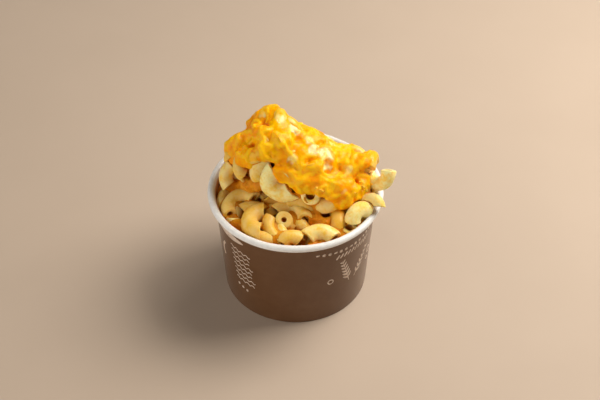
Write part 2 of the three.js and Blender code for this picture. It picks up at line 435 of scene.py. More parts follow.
class Effects:
    """The node groups that several finishes share, each built once."""

    def __init__(self) -> None:
        """Build every group."""
        self.mottling = self.build_mottling()
        self.relief = self.build_relief()
        self.depth_tint = self.build_depth_tint()

    @staticmethod
    def build_mottling() -> bpy.types.NodeTree:
        """Two colours in soft blotches of one size, with finer blotches in them.

        Returns:
            The node group.
        """
        tree, wiring = new_group(
            "Mottling",
            {"Light": WHITE, "Dark": WHITE, "Scale": 200.0, "Balance": 0.5, "Softness": 0.2},
            {"Color": "colour", "Mask": "value"},
        )
        given = wiring.add("NodeGroupInput").outputs
        broad = wiring.noise(given["Scale"], 3.0, 0.6)
        fine = wiring.noise(wiring.math("MULTIPLY", given["Scale"], 4.3), 2.0)
        both = wiring.math("MULTIPLY_ADD", fine, 0.3, wiring.math("MULTIPLY", broad, 0.7))
        low = wiring.math("SUBTRACT", given["Balance"], given["Softness"])
        high = wiring.math("ADD", given["Balance"], given["Softness"])
        mask = wiring.rise(both, low, high)
        colour = wiring.mix(mask, given["Light"], given["Dark"])
        wiring.add("NodeGroupOutput", {"Color": colour, "Mask": mask})
        return tree

    @staticmethod
    def build_relief() -> bpy.types.NodeTree:
        """A height of soft lumps with a fine grain on them.

        Returns:
            The node group.
        """
        tree, wiring = new_group(
            "SoftRelief",
            {"Lumps": 250.0, "Grain": 1400.0, "Grain Share": 0.3},
            {"Height": "value"},
        )
        given = wiring.add("NodeGroupInput").outputs
        lumps = wiring.noise(given["Lumps"], 2.0, 0.4)
        grain = wiring.noise(given["Grain"], 1.0)
        wiring.add("NodeGroupOutput", {
            "Height": wiring.math("MULTIPLY_ADD", grain, given["Grain Share"], lumps)})
        return tree

    @staticmethod
    def build_depth_tint() -> bpy.types.NodeTree:
        """A colour that turns to another where a kept value rises, with a broken edge.

        Returns:
            The node group.
        """
        tree, wiring = new_group(
            "DepthTint",
            {"Color": WHITE, "Tint": WHITE, "Value": 0.0, "Start": 0.0, "End": 1.0,
             "Strength": 1.0, "Break Up": 0.3, "Scale": 500.0},
            {"Color": "colour"},
        )
        given = wiring.add("NodeGroupInput").outputs
        noise = wiring.noise(given["Scale"], 2.0)
        off = wiring.math("MULTIPLY", wiring.math("SUBTRACT", noise, 0.5), given["Break Up"])
        value = wiring.math("ADD", given["Value"], off)
        share = wiring.math("MULTIPLY", wiring.rise(value, given["Start"], given["End"]),
                            given["Strength"])
        wiring.add("NodeGroupOutput", {
            "Color": wiring.mix(share, given["Color"], given["Tint"])})
        return tree

    def blotches(self, wiring: Wiring, light: Colour, dark: Colour, scale: float,
                 balance: float, softness: float) -> bpy.types.NodeOutputs:
        """Mottle two colours in a material.

        Args:
            wiring: The material's wiring.
            light: The colour where the mask is 0.
            dark: The colour where it is 1.
            scale: Blotches to a metre.
            balance: The noise value at which the two meet.
            softness: How softly they meet.

        Returns:
            The group's outputs, Color and Mask.
        """
        inputs = {"Light": light, "Dark": dark, "Scale": scale, "Balance": balance,
                  "Softness": softness}
        return wiring.add("Group", inputs, node_tree=self.mottling).outputs

    def tinted(self, wiring: Wiring, colour: bpy.types.NodeSocket, tint: Colour, kept: str,
               start: float, end: float, scale: float, break_up: float,
               strength: float = 0.9) -> bpy.types.NodeSocket:
        """Tint a colour in a material where a kept value is high.

        Args:
            wiring: The material's wiring.
            colour: What is tinted.
            tint: The colour it turns to.
            kept: The name of the value that is kept at the points.
            start: The value at which the tint starts.
            end: The value at which it is full.
            scale: Breaks to a metre along its edge.
            break_up: How far they move the edge.
            strength: How strong the tint is at most.

        Returns:
            The tinted colour's socket.
        """
        inputs = {"Color": colour, "Tint": tint, "Value": wiring.kept(kept), "Start": start,
                  "End": end, "Strength": strength, "Break Up": break_up, "Scale": scale}
        return wiring.add("Group", inputs, node_tree=self.depth_tint).outputs["Color"]


# ---------------------------------------------------------------- finishes


Look = tuple[bpy.types.NodeSocket, bpy.types.NodeSocket]


@dataclass(frozen=True)
class Relief:
    """Soft lumps with a finer grain on them."""

    lumps: float  # to a metre
    grain: float  # to a metre
    share: float  # the grain's height beside the lumps'
    height: float  # the lumps', in millimetres


@dataclass(frozen=True)
class Finish:
    """What every finish has: a name, a gloss, a relief and the light that it lets in."""

    name: str
    roughness: float = 0.5
    coat: float = 0.0
    coat_roughness: float = 0.15
    coat_ior: float = 1.5
    specular: float = 0.5
    subsurface: float = 0.0
    subsurface_reach: float = 1.0  # millimetres
    subsurface_radius: Triple = (1.0, 0.55, 0.2)
    swing: tuple[float, float] = (0.0, 0.0)  # how far the mask lowers and raises the roughness
    relief: Relief = Relief(300.0, 1800.0, 0.5, 0.02)

    def look(self, wiring: Wiring, effects: Effects) -> Look:
        """Wire the surface's colour, and the mask that its roughness follows.

        Args:
            wiring: The material's wiring.
            effects: The shared node groups.

        Returns:
            The colour's and the mask's sockets.
        """
        raise NotImplementedError

    def build(self, effects: Effects) -> bpy.types.Material:
        """Make the material.

        Args:
            effects: The shared node groups.

        Returns:
            The finished material.
        """
        material = bpy.data.materials.new(self.name)
        material.use_nodes = True
        wiring = Wiring(material.node_tree)
        shader = material.node_tree.nodes["Principled BSDF"]
        for name, value in {
            "Roughness": self.roughness, "Coat Weight": self.coat,
            "Coat Roughness": self.coat_roughness, "Coat IOR": self.coat_ior,
            "Specular IOR Level": self.specular, "Subsurface Weight": self.subsurface,
            "Subsurface Scale": self.subsurface_reach * MM,
            "Subsurface Radius": self.subsurface_radius,
        }.items():
            shader.inputs[name].default_value = value
        colour, mask = self.look(wiring, effects)
        wiring.tree.links.new(colour, shader.inputs["Base Color"])
        if any(self.swing):
            wet = wiring.spread(mask, self.roughness - self.swing[0],
                                self.roughness + self.swing[1])
            wiring.tree.links.new(wet, shader.inputs["Roughness"])
        given = {"Lumps": self.relief.lumps, "Grain": self.relief.grain,
                 "Grain Share": self.relief.share}
        uneven = wiring.add("Group", given, node_tree=effects.relief).outputs["Height"]
        bump = wiring.add("Bump", {"Height": uneven, "Distance": self.relief.height * MM,
                                   "Strength": 1.0})
        wiring.tree.links.new(bump.outputs["Normal"], shader.inputs["Normal"])
        return material


@dataclass(frozen=True)
class PastaFinish(Finish):
    """Cooked pasta in a creamy film: ochre, paler where it stands up, and turned orange and dark
    in the depths by painted shade, partly sauce.
    """

    pale: Colour = paint(255, 236, 162)
    tan: Colour = paint(251, 205, 78)
    coated: Colour = paint(226, 168, 40)
    sauce: Colour = paint(228, 158, 30)
    depth: Colour = paint(156, 80, 2)
    cheese: Colour = paint(255, 182, 10)
    swing: tuple[float, float] = (0.08, 0.12)
    relief: Relief = Relief(300.0, 1300.0, 0.2, 0.16)

    def look(self, wiring: Wiring, effects: Effects) -> Look:
        """Mottle the pasta, coat it by its tone, and paint shade into the depths and the bore.

        Args:
            wiring: The material's wiring.
            effects: The shared node groups.

        Returns:
            The colour's and the mask's sockets.
        """
        film = effects.blotches(wiring, self.pale, self.tan, 190.0, 0.54, 0.13)
        # The tone paints sauce on every elbow, and on the leading elbows also painted light and
        # shade: pale where lit, the coated colour where shaded.
        coat = wiring.spread(wiring.kept("tone"), 0.0, 0.8)
        toned = wiring.mix(coat, film["Color"], self.coated)
        # Painted shade, partly sauce: orange, then the dark depth colour, the deeper a point
        # lies under the heap's outline.
        sauce_shaded = effects.tinted(wiring, toned, self.sauce, "deep", 0.22, 0.66, 230.0, 0.4)
        deep = effects.tinted(wiring, sauce_shaded, self.depth, "deep", 0.6, 1.0, 300.0, 0.2)
        cheesed = effects.tinted(wiring, deep, self.cheese, "cheesed", 0.15, 0.85, 420.0, 0.5)
        # Painted shade in the bore: its inside is mixed most of the way to the dark depth
        # colour.
        inside = wiring.math("MULTIPLY", wiring.kept("inside"), 0.75)
        return wiring.mix(inside, cheesed, self.depth), film["Mask"]


@dataclass(frozen=True)
class SauceFinish(Finish):
    """Cheese sauce that has run between the elbows: orange, with painted shade that browns it
    the deeper it lies.
    """

    bright: Colour = paint(226, 150, 34)
    dull: Colour = paint(206, 122, 6)
    depth: Colour = paint(140, 62, 0)
    swing: tuple[float, float] = (0.0, 0.12)
    relief: Relief = Relief(380.0, 1500.0, 0.4, 0.6)

    def look(self, wiring: Wiring, effects: Effects) -> Look:
        """Mottle the sauce and paint shade into it in the depths."""
        film = effects.blotches(wiring, self.bright, self.dull, 240.0, 0.5, 0.16)
        # Painted shade: browner the deeper the sauce lies under the heap's outline.
        deep = effects.tinted(wiring, film["Color"], self.depth, "deep", 0.35, 0.95, 300.0,
                              0.25)
        return deep, film["Mask"]


@dataclass(frozen=True)
class CheddarFinish(Finish):
    """Melted cheddar: golden where it lies thick, with painted shade in orange in its folds and
    down its left flank.
    """

    gold: Colour = paint(255, 184, 0)
    amber: Colour = paint(249, 152, 0)
    fold: Colour = paint(224, 110, 0)
    pale: Colour = paint(255, 235, 166)
    shred: Colour = paint(255, 200, 26)
    swing: tuple[float, float] = (0.06, 0.12)
    relief: Relief = Relief(420.0, 1500.0, 0.2, 0.3)

    def look(self, wiring: Wiring, effects: Effects) -> Look:
        """Mottle the cheddar, paint shade into its folds and its left flank, paint its thin
        places pale with a painted highlight, and tint its shreds.

        Args:
            wiring: The material's wiring.
            effects: The shared node groups.

        Returns:
            The colour's and the mask's sockets.
        """
        melt = effects.blotches(wiring, self.gold, self.amber, 90.0, 0.5, 0.13)
        # Painted shade: the fold colour follows depth under the crown and the left flank, away
        # from the key light.
        fold_shaded = effects.tinted(wiring, melt["Color"], self.fold, "deep", 0.2, 0.75, 260.0, 0.3)
        # Partly painted highlight: thin places turn pale, as pasta showing through and as a
        # highlight on its bulges.
        thin = effects.tinted(wiring, fold_shaded, self.pale, "thin", 0.25, 0.7, 340.0, 0.35, 0.92)
        shreds = effects.tinted(wiring, thin, self.shred, "shred", 0.3, 0.9, 160.0, 0.9, 0.6)
        return shreds, melt["Mask"]


@dataclass(frozen=True)
class PaperFinish(Finish):
    """Coated white board, printed brown where the kept value says so."""

    board: Colour = paint(238, 234, 226)
    fibre: Colour = paint(228, 222, 212)
    brown: Colour = paint(96, 63, 36)
    worn_brown: Colour = paint(105, 72, 45)
    smear: Colour = paint(206, 132, 44)
    swing: tuple[float, float] = (0.04, 0.06)
    relief: Relief = Relief(240.0, 2600.0, 0.5, 0.05)

    def look(self, wiring: Wiring, effects: Effects) -> Look:
        """Stain the board where sauce has touched it, with painted shade heaviest on the left,
        and print it brown outside.

        Args:
            wiring: The material's wiring.
            effects: The shared node groups.

        Returns:
            The colour's and the mask's sockets.
        """
        board = effects.blotches(wiring, self.board, self.fibre, 420.0, 0.52, 0.2)
        ink = effects.blotches(wiring, self.brown, self.worn_brown, 70.0, 0.56, 0.25)
        # Partly painted shade: the sauce stain on the inner wall, heaviest on the left where
        # shade falls.
        stain_shaded = effects.tinted(wiring, board["Color"], self.smear, "stain_and_shade", 0.3, 0.7, 190.0,
                                 0.6, 0.85)
        return wiring.mix(wiring.kept("printed"), stain_shaded, ink["Color"]), ink["Mask"]


@dataclass(frozen=True)
class TwoTone(Finish):
    """Two colours in soft blotches, for toasted crumbs, for light ink and for the floor."""

    light: Colour = WHITE
    dark: Colour = WHITE
    scale: float = 420.0  # blotches to a metre
    balance: float = 0.5
    softness: float = 0.1

    def look(self, wiring: Wiring, effects: Effects) -> Look:
        """Mottle the two colours."""
        made = effects.blotches(wiring, self.light, self.dark, self.scale, self.balance,
                                self.softness)
        return made["Color"], made["Mask"]


# ---------------------------------------------------------------- the paper tub


@dataclass
class Tub:
    """A round paper tub with a rolled rim and a recessed base."""

    height: float = 61.3
    rim_radius: float = 45.0
    roll_radius: float = 1.75
    foot_radius: float = 37.4
    paper: float = 0.6
    base_recess: float = 6.0
    foot_fold: float = 4.5
    gap: float = 0.3
    sides: int = 180
    seam_turn: float = 68.0  # degrees from +X to the middle of the side seam
    seam_width: float = 9.0  # degrees
    seam_step: float = 0.28  # how far the lap stands out

    @property
    def roll_centre(self) -> tuple[float, float]:
        """Radius and height of the rolled rim's middle."""
        return self.rim_radius - self.roll_radius, self.height - self.roll_radius

    def outer(self, height: np.ndarray | float) -> np.ndarray | float:
        """The wall's outer radius at a height."""
        top = self.rim_radius - 2 * self.roll_radius
        return self.foot_radius + (top - self.foot_radius) * height / self.roll_centre[1]

    def inner(self, height: np.ndarray | float) -> np.ndarray | float:
        """The wall's inner radius at a height."""
        return self.outer(height) - self.paper

    def angles(self) -> np.ndarray:
        """Choose the turns of the wall's points, with close pairs at the seam's edges.

        Returns:
            Angles in radians, rising.
        """
        even = np.arange(self.sides) * 360 / self.sides
        edges = [self.seam_turn + side * self.seam_width / 2 + off
                 for side in (-1, 1) for off in (-0.35, 0.0, 0.35)]
        return np.radians(np.sort(np.concatenate([even, edges])))

    def on_seam(self, angles: np.ndarray) -> np.ndarray:
        """Say where the outer layer overlaps the inner one.

        Args:
            angles: Turns in radians.

        Returns:
            Shares from 0 to 1.
        """
        off = np.degrees((angles - math.radians(self.seam_turn) + math.pi) % (2 * math.pi)
                         - math.pi)
        half = self.seam_width / 2
        return ease(half + 0.3, half, np.abs(off))

    def wobble(self, angles: np.ndarray, height: np.ndarray) -> np.ndarray:
        """Say how far the wall stands off a true circle.

        Args:
            angles: Turns in radians.
            height: Heights of the same shape.

        Returns:
            Millimetres outward.
        """
        ring = np.stack([np.cos(angles), np.sin(angles), 0 * angles], -1).reshape(-1, 3) * 40
        off = Ripple(46.0, 5).at(ring) * 0.14 + Ripple(15.0, 6).at(ring) * 0.05
        return off.reshape(angles.shape) * np.clip(height / self.roll_centre[1], 0, 1)

    def profile(self) -> tuple[np.ndarray, np.ndarray]:
        """Trace the wall's section, up the inside, over the roll, down and round the foot.

        Returns:
            Rows of radius and height, and for each 1 where the outside is printed.
        """
        middle, top = self.roll_centre
        turn = np.radians(np.linspace(160, -148, 34))
        roll = np.stack([middle + self.roll_radius * np.cos(turn),
                         top + self.roll_radius * np.sin(turn)], -1)
        under = roll[-1, 1]
        up = np.linspace(self.paper, under, 26)
        inside = np.stack([self.inner(up), up], -1)
        down = np.concatenate([[under, under - 0.02], np.linspace(under - 0.6, 0.5, 28)])
        outside = np.stack([self.outer(down), down], -1)
        fold = self.foot_radius - 3 * self.paper - 2 * self.gap
        foot = np.array([
            (self.foot_radius - 0.02, 0.22), (self.foot_radius - 0.16, 0.05),
            (self.foot_radius - 0.4, 0.0), (fold + 0.25, 0.0), (fold + 0.05, 0.06),
            (fold, 0.25), (fold, self.foot_fold - 0.2), (fold + 0.1, self.foot_fold),
            (fold + 0.5, self.foot_fold), (fold + 0.6, self.foot_fold - 0.2),
            (fold + 0.6, self.paper + 0.1), (fold + 0.75, self.paper),
        ])
        rows = np.concatenate([inside, roll, outside, foot])
        printed = np.zeros(len(rows))
        start = len(inside) + len(roll) + 1
        printed[start:start + len(outside) + 1] = 1
        return rows, printed

    def wall(self) -> Shell:
        """Turn the section into the wall, with its side seam and slight unevenness.

        Returns:
            The wall, with its printed values and its stain, which also holds painted shade on
            the left.
        """
        rows, printed = self.profile()
        angles = self.angles()
        radius = np.repeat(rows[:, :1], len(angles), 1)
        height = np.repeat(rows[:, 1:], len(angles), 1)
        middle, top = self.roll_centre
        outward = np.clip((radius - self.inner(height)) / self.paper, 0, 1)
        low = ease(0.0, 2.0, height)
        radius = radius + self.seam_step * self.on_seam(angles)[None, :] * outward * low
        radius = radius + self.wobble(np.broadcast_to(angles, height.shape), height)
        ring = np.stack([np.cos(angles), np.sin(angles), np.zeros_like(angles)], -1) * 40
        share = np.clip(height / top, 0, 1)
        height = height + (Ripple(60.0, 8).at(ring) * 0.16)[None, :] * share**3
        points = np.stack([radius * np.cos(angles), radius * np.sin(angles), height], -1)
        inside = 1 - outward
        # A band of sauce stain inside near the fill line, made heavier towards the left as
        # painted shade.
        smear = ease(50.0, 56.5, height) * ease(62.0, 57.5, height) * inside
        left = 0.55 + 0.45 * np.cos(angles - math.radians(190))[None, :]
        stain_and_shade = smear * left
        return Shell(
            points.reshape(-1, 3),
            wrapped(len(rows), len(angles), True)[:, ::-1],
            {"printed": np.repeat(printed, len(angles)), "stain_and_shade": stain_and_shade.ravel()},
        )

    def base(self) -> Shell:
        """Make the base disc, a little bowed, with its skirt turned down into the foot.

        Returns:
            The base.
        """
        outside = self.foot_radius - self.paper - self.gap
        inside = outside - self.paper
        foot = self.paper + self.gap
        top = self.base_recess + self.paper
        disc = np.linspace(0.03, inside - 1.2, 14)
        bow = 0.35 * (1 - (disc / inside) ** 2)
        rows = np.concatenate([
            np.stack([disc, self.base_recess + bow], -1),
            [(inside - 0.3, self.base_recess), (inside, self.base_recess - 0.35)],
            np.stack([np.full(5, inside), np.linspace(self.base_recess - 1, foot, 5)], -1),
            [(inside + 0.15, foot - 0.08), (outside - 0.15, foot - 0.08)],
            np.stack([np.full(6, outside), np.linspace(foot, top - 0.9, 6)], -1),
            [(outside - 0.12, top - 0.3), (outside - 0.6, top)],
            np.stack([disc[::-1], top + bow[::-1]], -1),
        ])
        angles = np.arange(self.sides) * 2 * math.pi / self.sides
        points = np.stack([
            rows[:, :1] * np.cos(angles), rows[:, :1] * np.sin(angles),
            np.repeat(rows[:, 1:], self.sides, 1),
        ], -1)
        blank = np.zeros(points.shape[0] * points.shape[1])
        return Shell(points.reshape(-1, 3), wrapped(len(rows), self.sides, True),
                     {"printed": blank, "stain_and_shade": blank})

    def build(self, effects: Effects) -> None:
        """Make the wall and the base and place them.

        Args:
            effects: The shared node groups.
        """
        paper = PaperFinish("coated_paper", roughness=0.42, coat=1.0, coat_roughness=0.24,
                            coat_ior=1.36, specular=0.08)
        board = PaperFinish("plain_board", roughness=0.6)
        place(self.wall().object("paper_wall", paper.build(effects)),
              ["tub_wall"])
        place(self.base().object("board_base", board.build(effects)),
              ["tub_base"])


# ---------------------------------------------------------------- the print


@dataclass
class Print:
    """Plain motifs in light ink on the tub's wall: sprigs, waves, dots and one field."""

    tub: Tub
    lift: float = 0.05  # how far the ink stands on the paper
    sunk: float = 0.12  # how far its underside lies in it
    step: float = 0.9  # between points along a line

    def on_wall(self, turn: np.ndarray, height: np.ndarray, out: float) -> np.ndarray:
        """Lay points on the wall.

        Args:
            turn: Millimetres round the wall from the front, to the right.
            height: Millimetres up from the table.
            out: Millimetres proud of the paper.

        Returns:
            Rows of x, y and z.
        """
        middle = self.tub.outer(30.0)
        angle = turn / middle - math.pi / 2
        radius = self.tub.outer(height) + self.tub.wobble(angle, height) + out
        return np.stack([radius * np.cos(angle), radius * np.sin(angle), height], -1)

    def stroke(self, line: np.ndarray, width: np.ndarray) -> Shell:
        """Draw a line of ink as a thin closed slab.

        Args:
            line: Rows of turn and height along its middle.
            width: Its width at each row.

        Returns:
            The slab.
        """
        ahead = np.gradient(line, axis=0)
        ahead /= np.maximum(np.linalg.norm(ahead, axis=1, keepdims=True), 1e-9)
        side = np.stack([-ahead[:, 1], ahead[:, 0]], -1)
        across = np.linspace(-0.5, 0.5, 5)
        flat = line[:, None] + side[:, None] * (width[:, None] * across)[..., None]
        top = self.on_wall(flat[..., 0], flat[..., 1], self.lift)
        bottom = self.on_wall(flat[..., 0], flat[..., 1], -self.sunk)[:, ::-1]
        rings = np.concatenate([top, bottom], 1)
        around = rings.shape[1]
        faces = list(wrapped(len(line), around, False))
        for row, flip in ((0, False), (len(line) - 1, True)):
            first = row * around
            for i in range(4):
                quad = [first + i, first + i + 1, first + around - 2 - i,
                        first + around - 1 - i]
                faces.append(np.array(quad if flip else quad[::-1]))
        return Shell(rings.reshape(-1, 3), np.array(faces)[:, ::-1])

    def line(self, start: tuple[float, float], stop: tuple[float, float], width: float,
             end: float = 1.0) -> Shell:
        """Draw a straight line.

        Args:
            start: Turn and height of its start.
            stop: Turn and height of its end.
            width: The line's width.
            end: The width at its far end, as a share of that.

        Returns:
            The line's slab.
        """
        count = max(2, int(math.dist(start, stop) / self.step))
        rows = np.linspace(start, stop, count + 1)
        return self.stroke(rows, width * np.linspace(1, end, len(rows)))

    def arc(self, middle: tuple[float, float], radius: float, start: float, stop: float,
            width: float) -> Shell:
        """Draw part of a circle.

        Args:
            middle: Turn and height of its middle.
            radius: The radius of its middle line.
            start: Where it starts, in degrees from the right.
            stop: Where it stops.
            width: The line's width.

        Returns:
            The arc's slab.
        """
        count = max(6, int(abs(math.radians(stop - start)) * radius / self.step * 1.6))
        turn = np.radians(np.linspace(start, stop, count))
        rows = np.stack([middle[0] + radius * np.cos(turn),
                         middle[1] + radius * np.sin(turn)], -1)
        return self.stroke(rows, np.full(count, width))

    def ring(self, middle: tuple[float, float], radius: float, width: float) -> Shell:
        """Draw a ring, or a dot where the width is over the radius."""
        return self.arc(middle, radius, 0, 359, width)

    def wave(self, start: tuple[float, float], length: float, slope: float) -> Shell:
        """Draw a small wavy line.

        Args:
            start: Turn and height of its left end.
            length: How far it runs to the right.
            slope: How much it climbs for each millimetre.

        Returns:
            The line's slab.
        """
        along = np.arange(0, length, 0.55)
        rows = np.stack([start[0] + along,
                         start[1] + slope * along + 0.6 * np.sin(along * 1.9)], -1)
        return self.stroke(rows, np.full(len(rows), 0.56))

    def sprig(self, foot: tuple[float, float], tip: tuple[float, float], pairs: int,
              leaf: float) -> list[Shell]:
        """Draw a stem with pairs of leaves that grow shorter towards its tip.

        Args:
            foot: Turn and height of the stem's foot.
            tip: Turn and height of its tip.
            pairs: How many pairs of leaves it has.
            leaf: The lowest leaf's length.

        Returns:
            The slabs of the stem and the leaves.
        """
        low, high = np.array(foot, float), np.array(tip, float)
        ahead = unit(high - low)
        side = np.array([-ahead[1], ahead[0]])
        made = [self.line(foot, tip, width=0.5, end=0.5)]
        for share in np.linspace(0.15, 0.92, pairs):
            base = low + (high - low) * share
            size = leaf * (1 - 0.5 * share)
            for hand in (-1, 1):
                rows = np.linspace(base, base + size * (0.8 * ahead + 0.7 * hand * side), 9)
                swell = np.sin(np.linspace(0.1, 0.95, 9) * math.pi) * size * 0.34
                made.append(self.stroke(rows, swell + 0.05))
        return made

    def motifs(self) -> list[Shell]:
        """Set out the whole print.

        Returns:
            Every slab of ink.
        """
        made = []
        # Under the rim to the right: a garland of dots and dashes that sags a little.
        for i, turn in enumerate(np.arange(11.0, 56.0, 3.1)):
            height = 50.6 - 2.2 * math.sin((turn - 11) / 45 * math.pi)
            if i % 3:
                made.append(self.ring((turn, height), 0.5, 1.1))
            else:
                made.append(self.line((turn - 0.9, height), (turn + 0.9, height + 0.2),
                                      width=1.0))
        # Under the garland: a short rope of slanted bars.
        for turn in np.arange(21.0, 44.0, 2.3):
            made.append(self.line((turn, 43.6), (turn + 1.7, 46.2), width=0.9))
        # Below it: two sprigs that lean apart, with rings beside them.
        made += self.sprig((30.5, 22.5), (25.0, 40.0), 6, 4.2)
        made += self.sprig((34.5, 22.5), (43.5, 38.0), 6, 3.8)
        for turn, height, radius in ((48.5, 30.5, 1.9), (18.5, 28.0, 1.5), (47.5, 25.0, 0.9)):
            made.append(self.ring((turn, height), radius, 0.6))
        # To the left: a leaf-shaped field, rows of waves, a curl and three dots.
        spine = np.stack([np.linspace(-50.0, -27.5, 28), np.linspace(50.5, 50.9, 28)], -1)
        swell = np.sin(np.linspace(0.06, 0.97, 28) * math.pi) ** 0.7 * 4.2
        made.append(self.stroke(spine, swell))
        for i in range(8):
            made.append(self.wave((-37.0 + 0.35 * i, 44.6 - 3.1 * i), 13.5 - 0.9 * (i % 3),
                                  -0.14))
        made.append(self.arc((-39.0, 34.0), 7.4, 128, 214, 1.5))
        for turn, height in ((-33.5, 17.6), (-30.6, 16.6), (-27.7, 15.8)):
            made.append(self.ring((turn, height), 0.45, 0.85))
        # Further round to the right: a row of dashes and two rings.
        for i in range(8):
            turn = 64.0 + 5.2 * i
            made.append(self.line((turn, 47.5), (turn + 2.6, 47.5), width=0.8))
        for turn in (79.0, 91.5):
            made.append(self.ring((turn, 32.0), 4.2, 0.7))
            made.append(self.ring((turn, 32.0), 1.1, 1.4))
        return made

    def build(self, effects: Effects) -> None:
        """Make the print and place it.

        Args:
            effects: The shared node groups.
        """
        ink = TwoTone("light_ink", roughness=0.45, coat=0.15, coat_roughness=0.3,
                      light=paint(214, 192, 170), dark=paint(176, 148, 124), scale=520.0,
                      balance=0.56, softness=0.12, relief=Relief(240.0, 2600.0, 0.5, 0.04))
        shell = Shell.joined(self.motifs())
        place(shell.object("printed_motifs", ink.build(effects)))


# ---------------------------------------------------------------- the heap's form


@dataclass(frozen=True)
class Heap:
    """The outline of the filling: a bed inside the tub, and a crown standing on it."""

    tub: Tub
    seat: Triple = (1, 5, 66)  # every ray from here leaves the crown once
    mounds: tuple = (
        ((-12, 10, 79), (17, 20, 22)),
        ((-17, 6, 72), (19, 17, 14)),
        ((4, 4, 72), (19, 21, 18)),
        ((16, 1, 68), (21, 20, 14)),
        ((24, 3, 66), (20, 15, 10)),
    )
    blend: int = 14
    bed_edge: float = 59.5  # height of the bed's outline at the wall
    bed_top: float = 64.0
    reach: float = 64.0  # the cheddar's, in degrees from straight up
    feather: float = 9.0
    lobes: tuple = ((1, 5, 110), (2, 9, 176), (3, 6, 200), (5, 4, 220), (9, 2.5, 110))

    def crown_radius(self, ways: np.ndarray) -> np.ndarray:
        """Measure how far the crown's outline lies from its seat.

        Args:
            ways: Rows of unit directions.

        Returns:
            Millimetres for each.
        """
        total = np.zeros(len(ways))
        for centre, radii in self.mounds:
            start = (np.array(self.seat) - centre) / radii
            ray = ways / np.array(radii)
            a = (ray * ray).sum(1)
            b = ray @ start
            root = b * b - a * (start @ start - 1)
            far = (np.sqrt(np.maximum(root, 0)) - b) / a
            total += np.where(root > 0, np.maximum(far, 0), 0) ** self.blend
        return total ** (1 / self.blend)

    def in_crown(self, points: np.ndarray) -> np.ndarray:
        """How deep points lie under the crown's outline, negative outside it."""
        off = points - np.array(self.seat)
        far = np.linalg.norm(off, axis=1)
        return self.crown_radius(unit(off)) - far

    def bed_height(self, points: np.ndarray) -> np.ndarray:
        """The height of the bed's outline over points."""
        share = np.hypot(points[:, 0], points[:, 1]) / self.tub.inner(self.tub.height)
        return self.bed_top + (self.bed_edge - self.bed_top) * np.clip(share, 0, 1) ** 3

    def depth(self, points: np.ndarray) -> np.ndarray:
        """How deep points lie under the whole outline, negative outside it."""
        return np.maximum(self.in_crown(points), self.bed_height(points) - points[:, 2])

    def in_tub(self, points: np.ndarray) -> np.ndarray:
        """How far points lie inside the wall and its rolled rim, negative past them."""
        out = np.hypot(points[:, 0], points[:, 1])
        middle, top = self.tub.roll_centre
        wall = self.tub.inner(np.minimum(points[:, 2], top)) - out
        roll = np.hypot(out - middle, points[:, 2] - top) - self.tub.roll_radius
        return np.where(points[:, 2] < top, wall, roll)

    def past_cheddar(self, points: np.ndarray) -> np.ndarray:
        """How far past the cheddar's wavy edge points lie, in degrees from the seat.

        Args:
            points: Rows of x, y and z.

        Returns:
            Degrees, negative inside the edge.
        """
        off = points - np.array(self.seat)
        turn = np.arctan2(off[:, 1], off[:, 0])
        edge = np.full(len(points), self.reach)
        for count, deep, phase in self.lobes:
            edge += deep * np.sin(count * turn + math.radians(phase))
        lean = np.degrees(np.arctan2(np.hypot(off[:, 0], off[:, 1]), off[:, 2]))
        return lean - edge


# ---------------------------------------------------------------- elbow macaroni


@dataclass
class Elbow:
    """One elbow: a short tube bent to an arc, by the middle of its bend."""

    at: Triple
    hump: Triple  # the way the outside of its bend faces
    run: Triple  # the way it runs there
    radius: float = 4.2
    bend: float = 6.6  # radius of its middle line
    sweep: float = 165.0  # degrees
    fixed: bool = False  # whether it stays where it was laid
    free: bool = False  # whether it may stand out of the heap's outline
    tone: float | None = None  # how heavily sauce coats it, from 0 to 1, where that is set; on the leading elbows it is also painted light and shade, low where lit and high where shaded
    bore: float | None = None  # its bore as a share of its radius, where that is set

    def turn(self) -> np.ndarray:
        """The elbow's own axes, one to a column: along its run, across, and its hump."""
        out = unit(np.array(self.hump, float))
        side = unit(np.cross(out, np.array(self.run, float)))
        return np.stack([np.cross(side, out), side, out], -1)


class Stance(Enum):
    """How a loose elbow lies: the way its hump turns, as a share of the way out of the heap."""

    ON_ITS_SIDE = 0.1
    HUMP_UP = 0.9
    HUMP_DOWN = -0.8


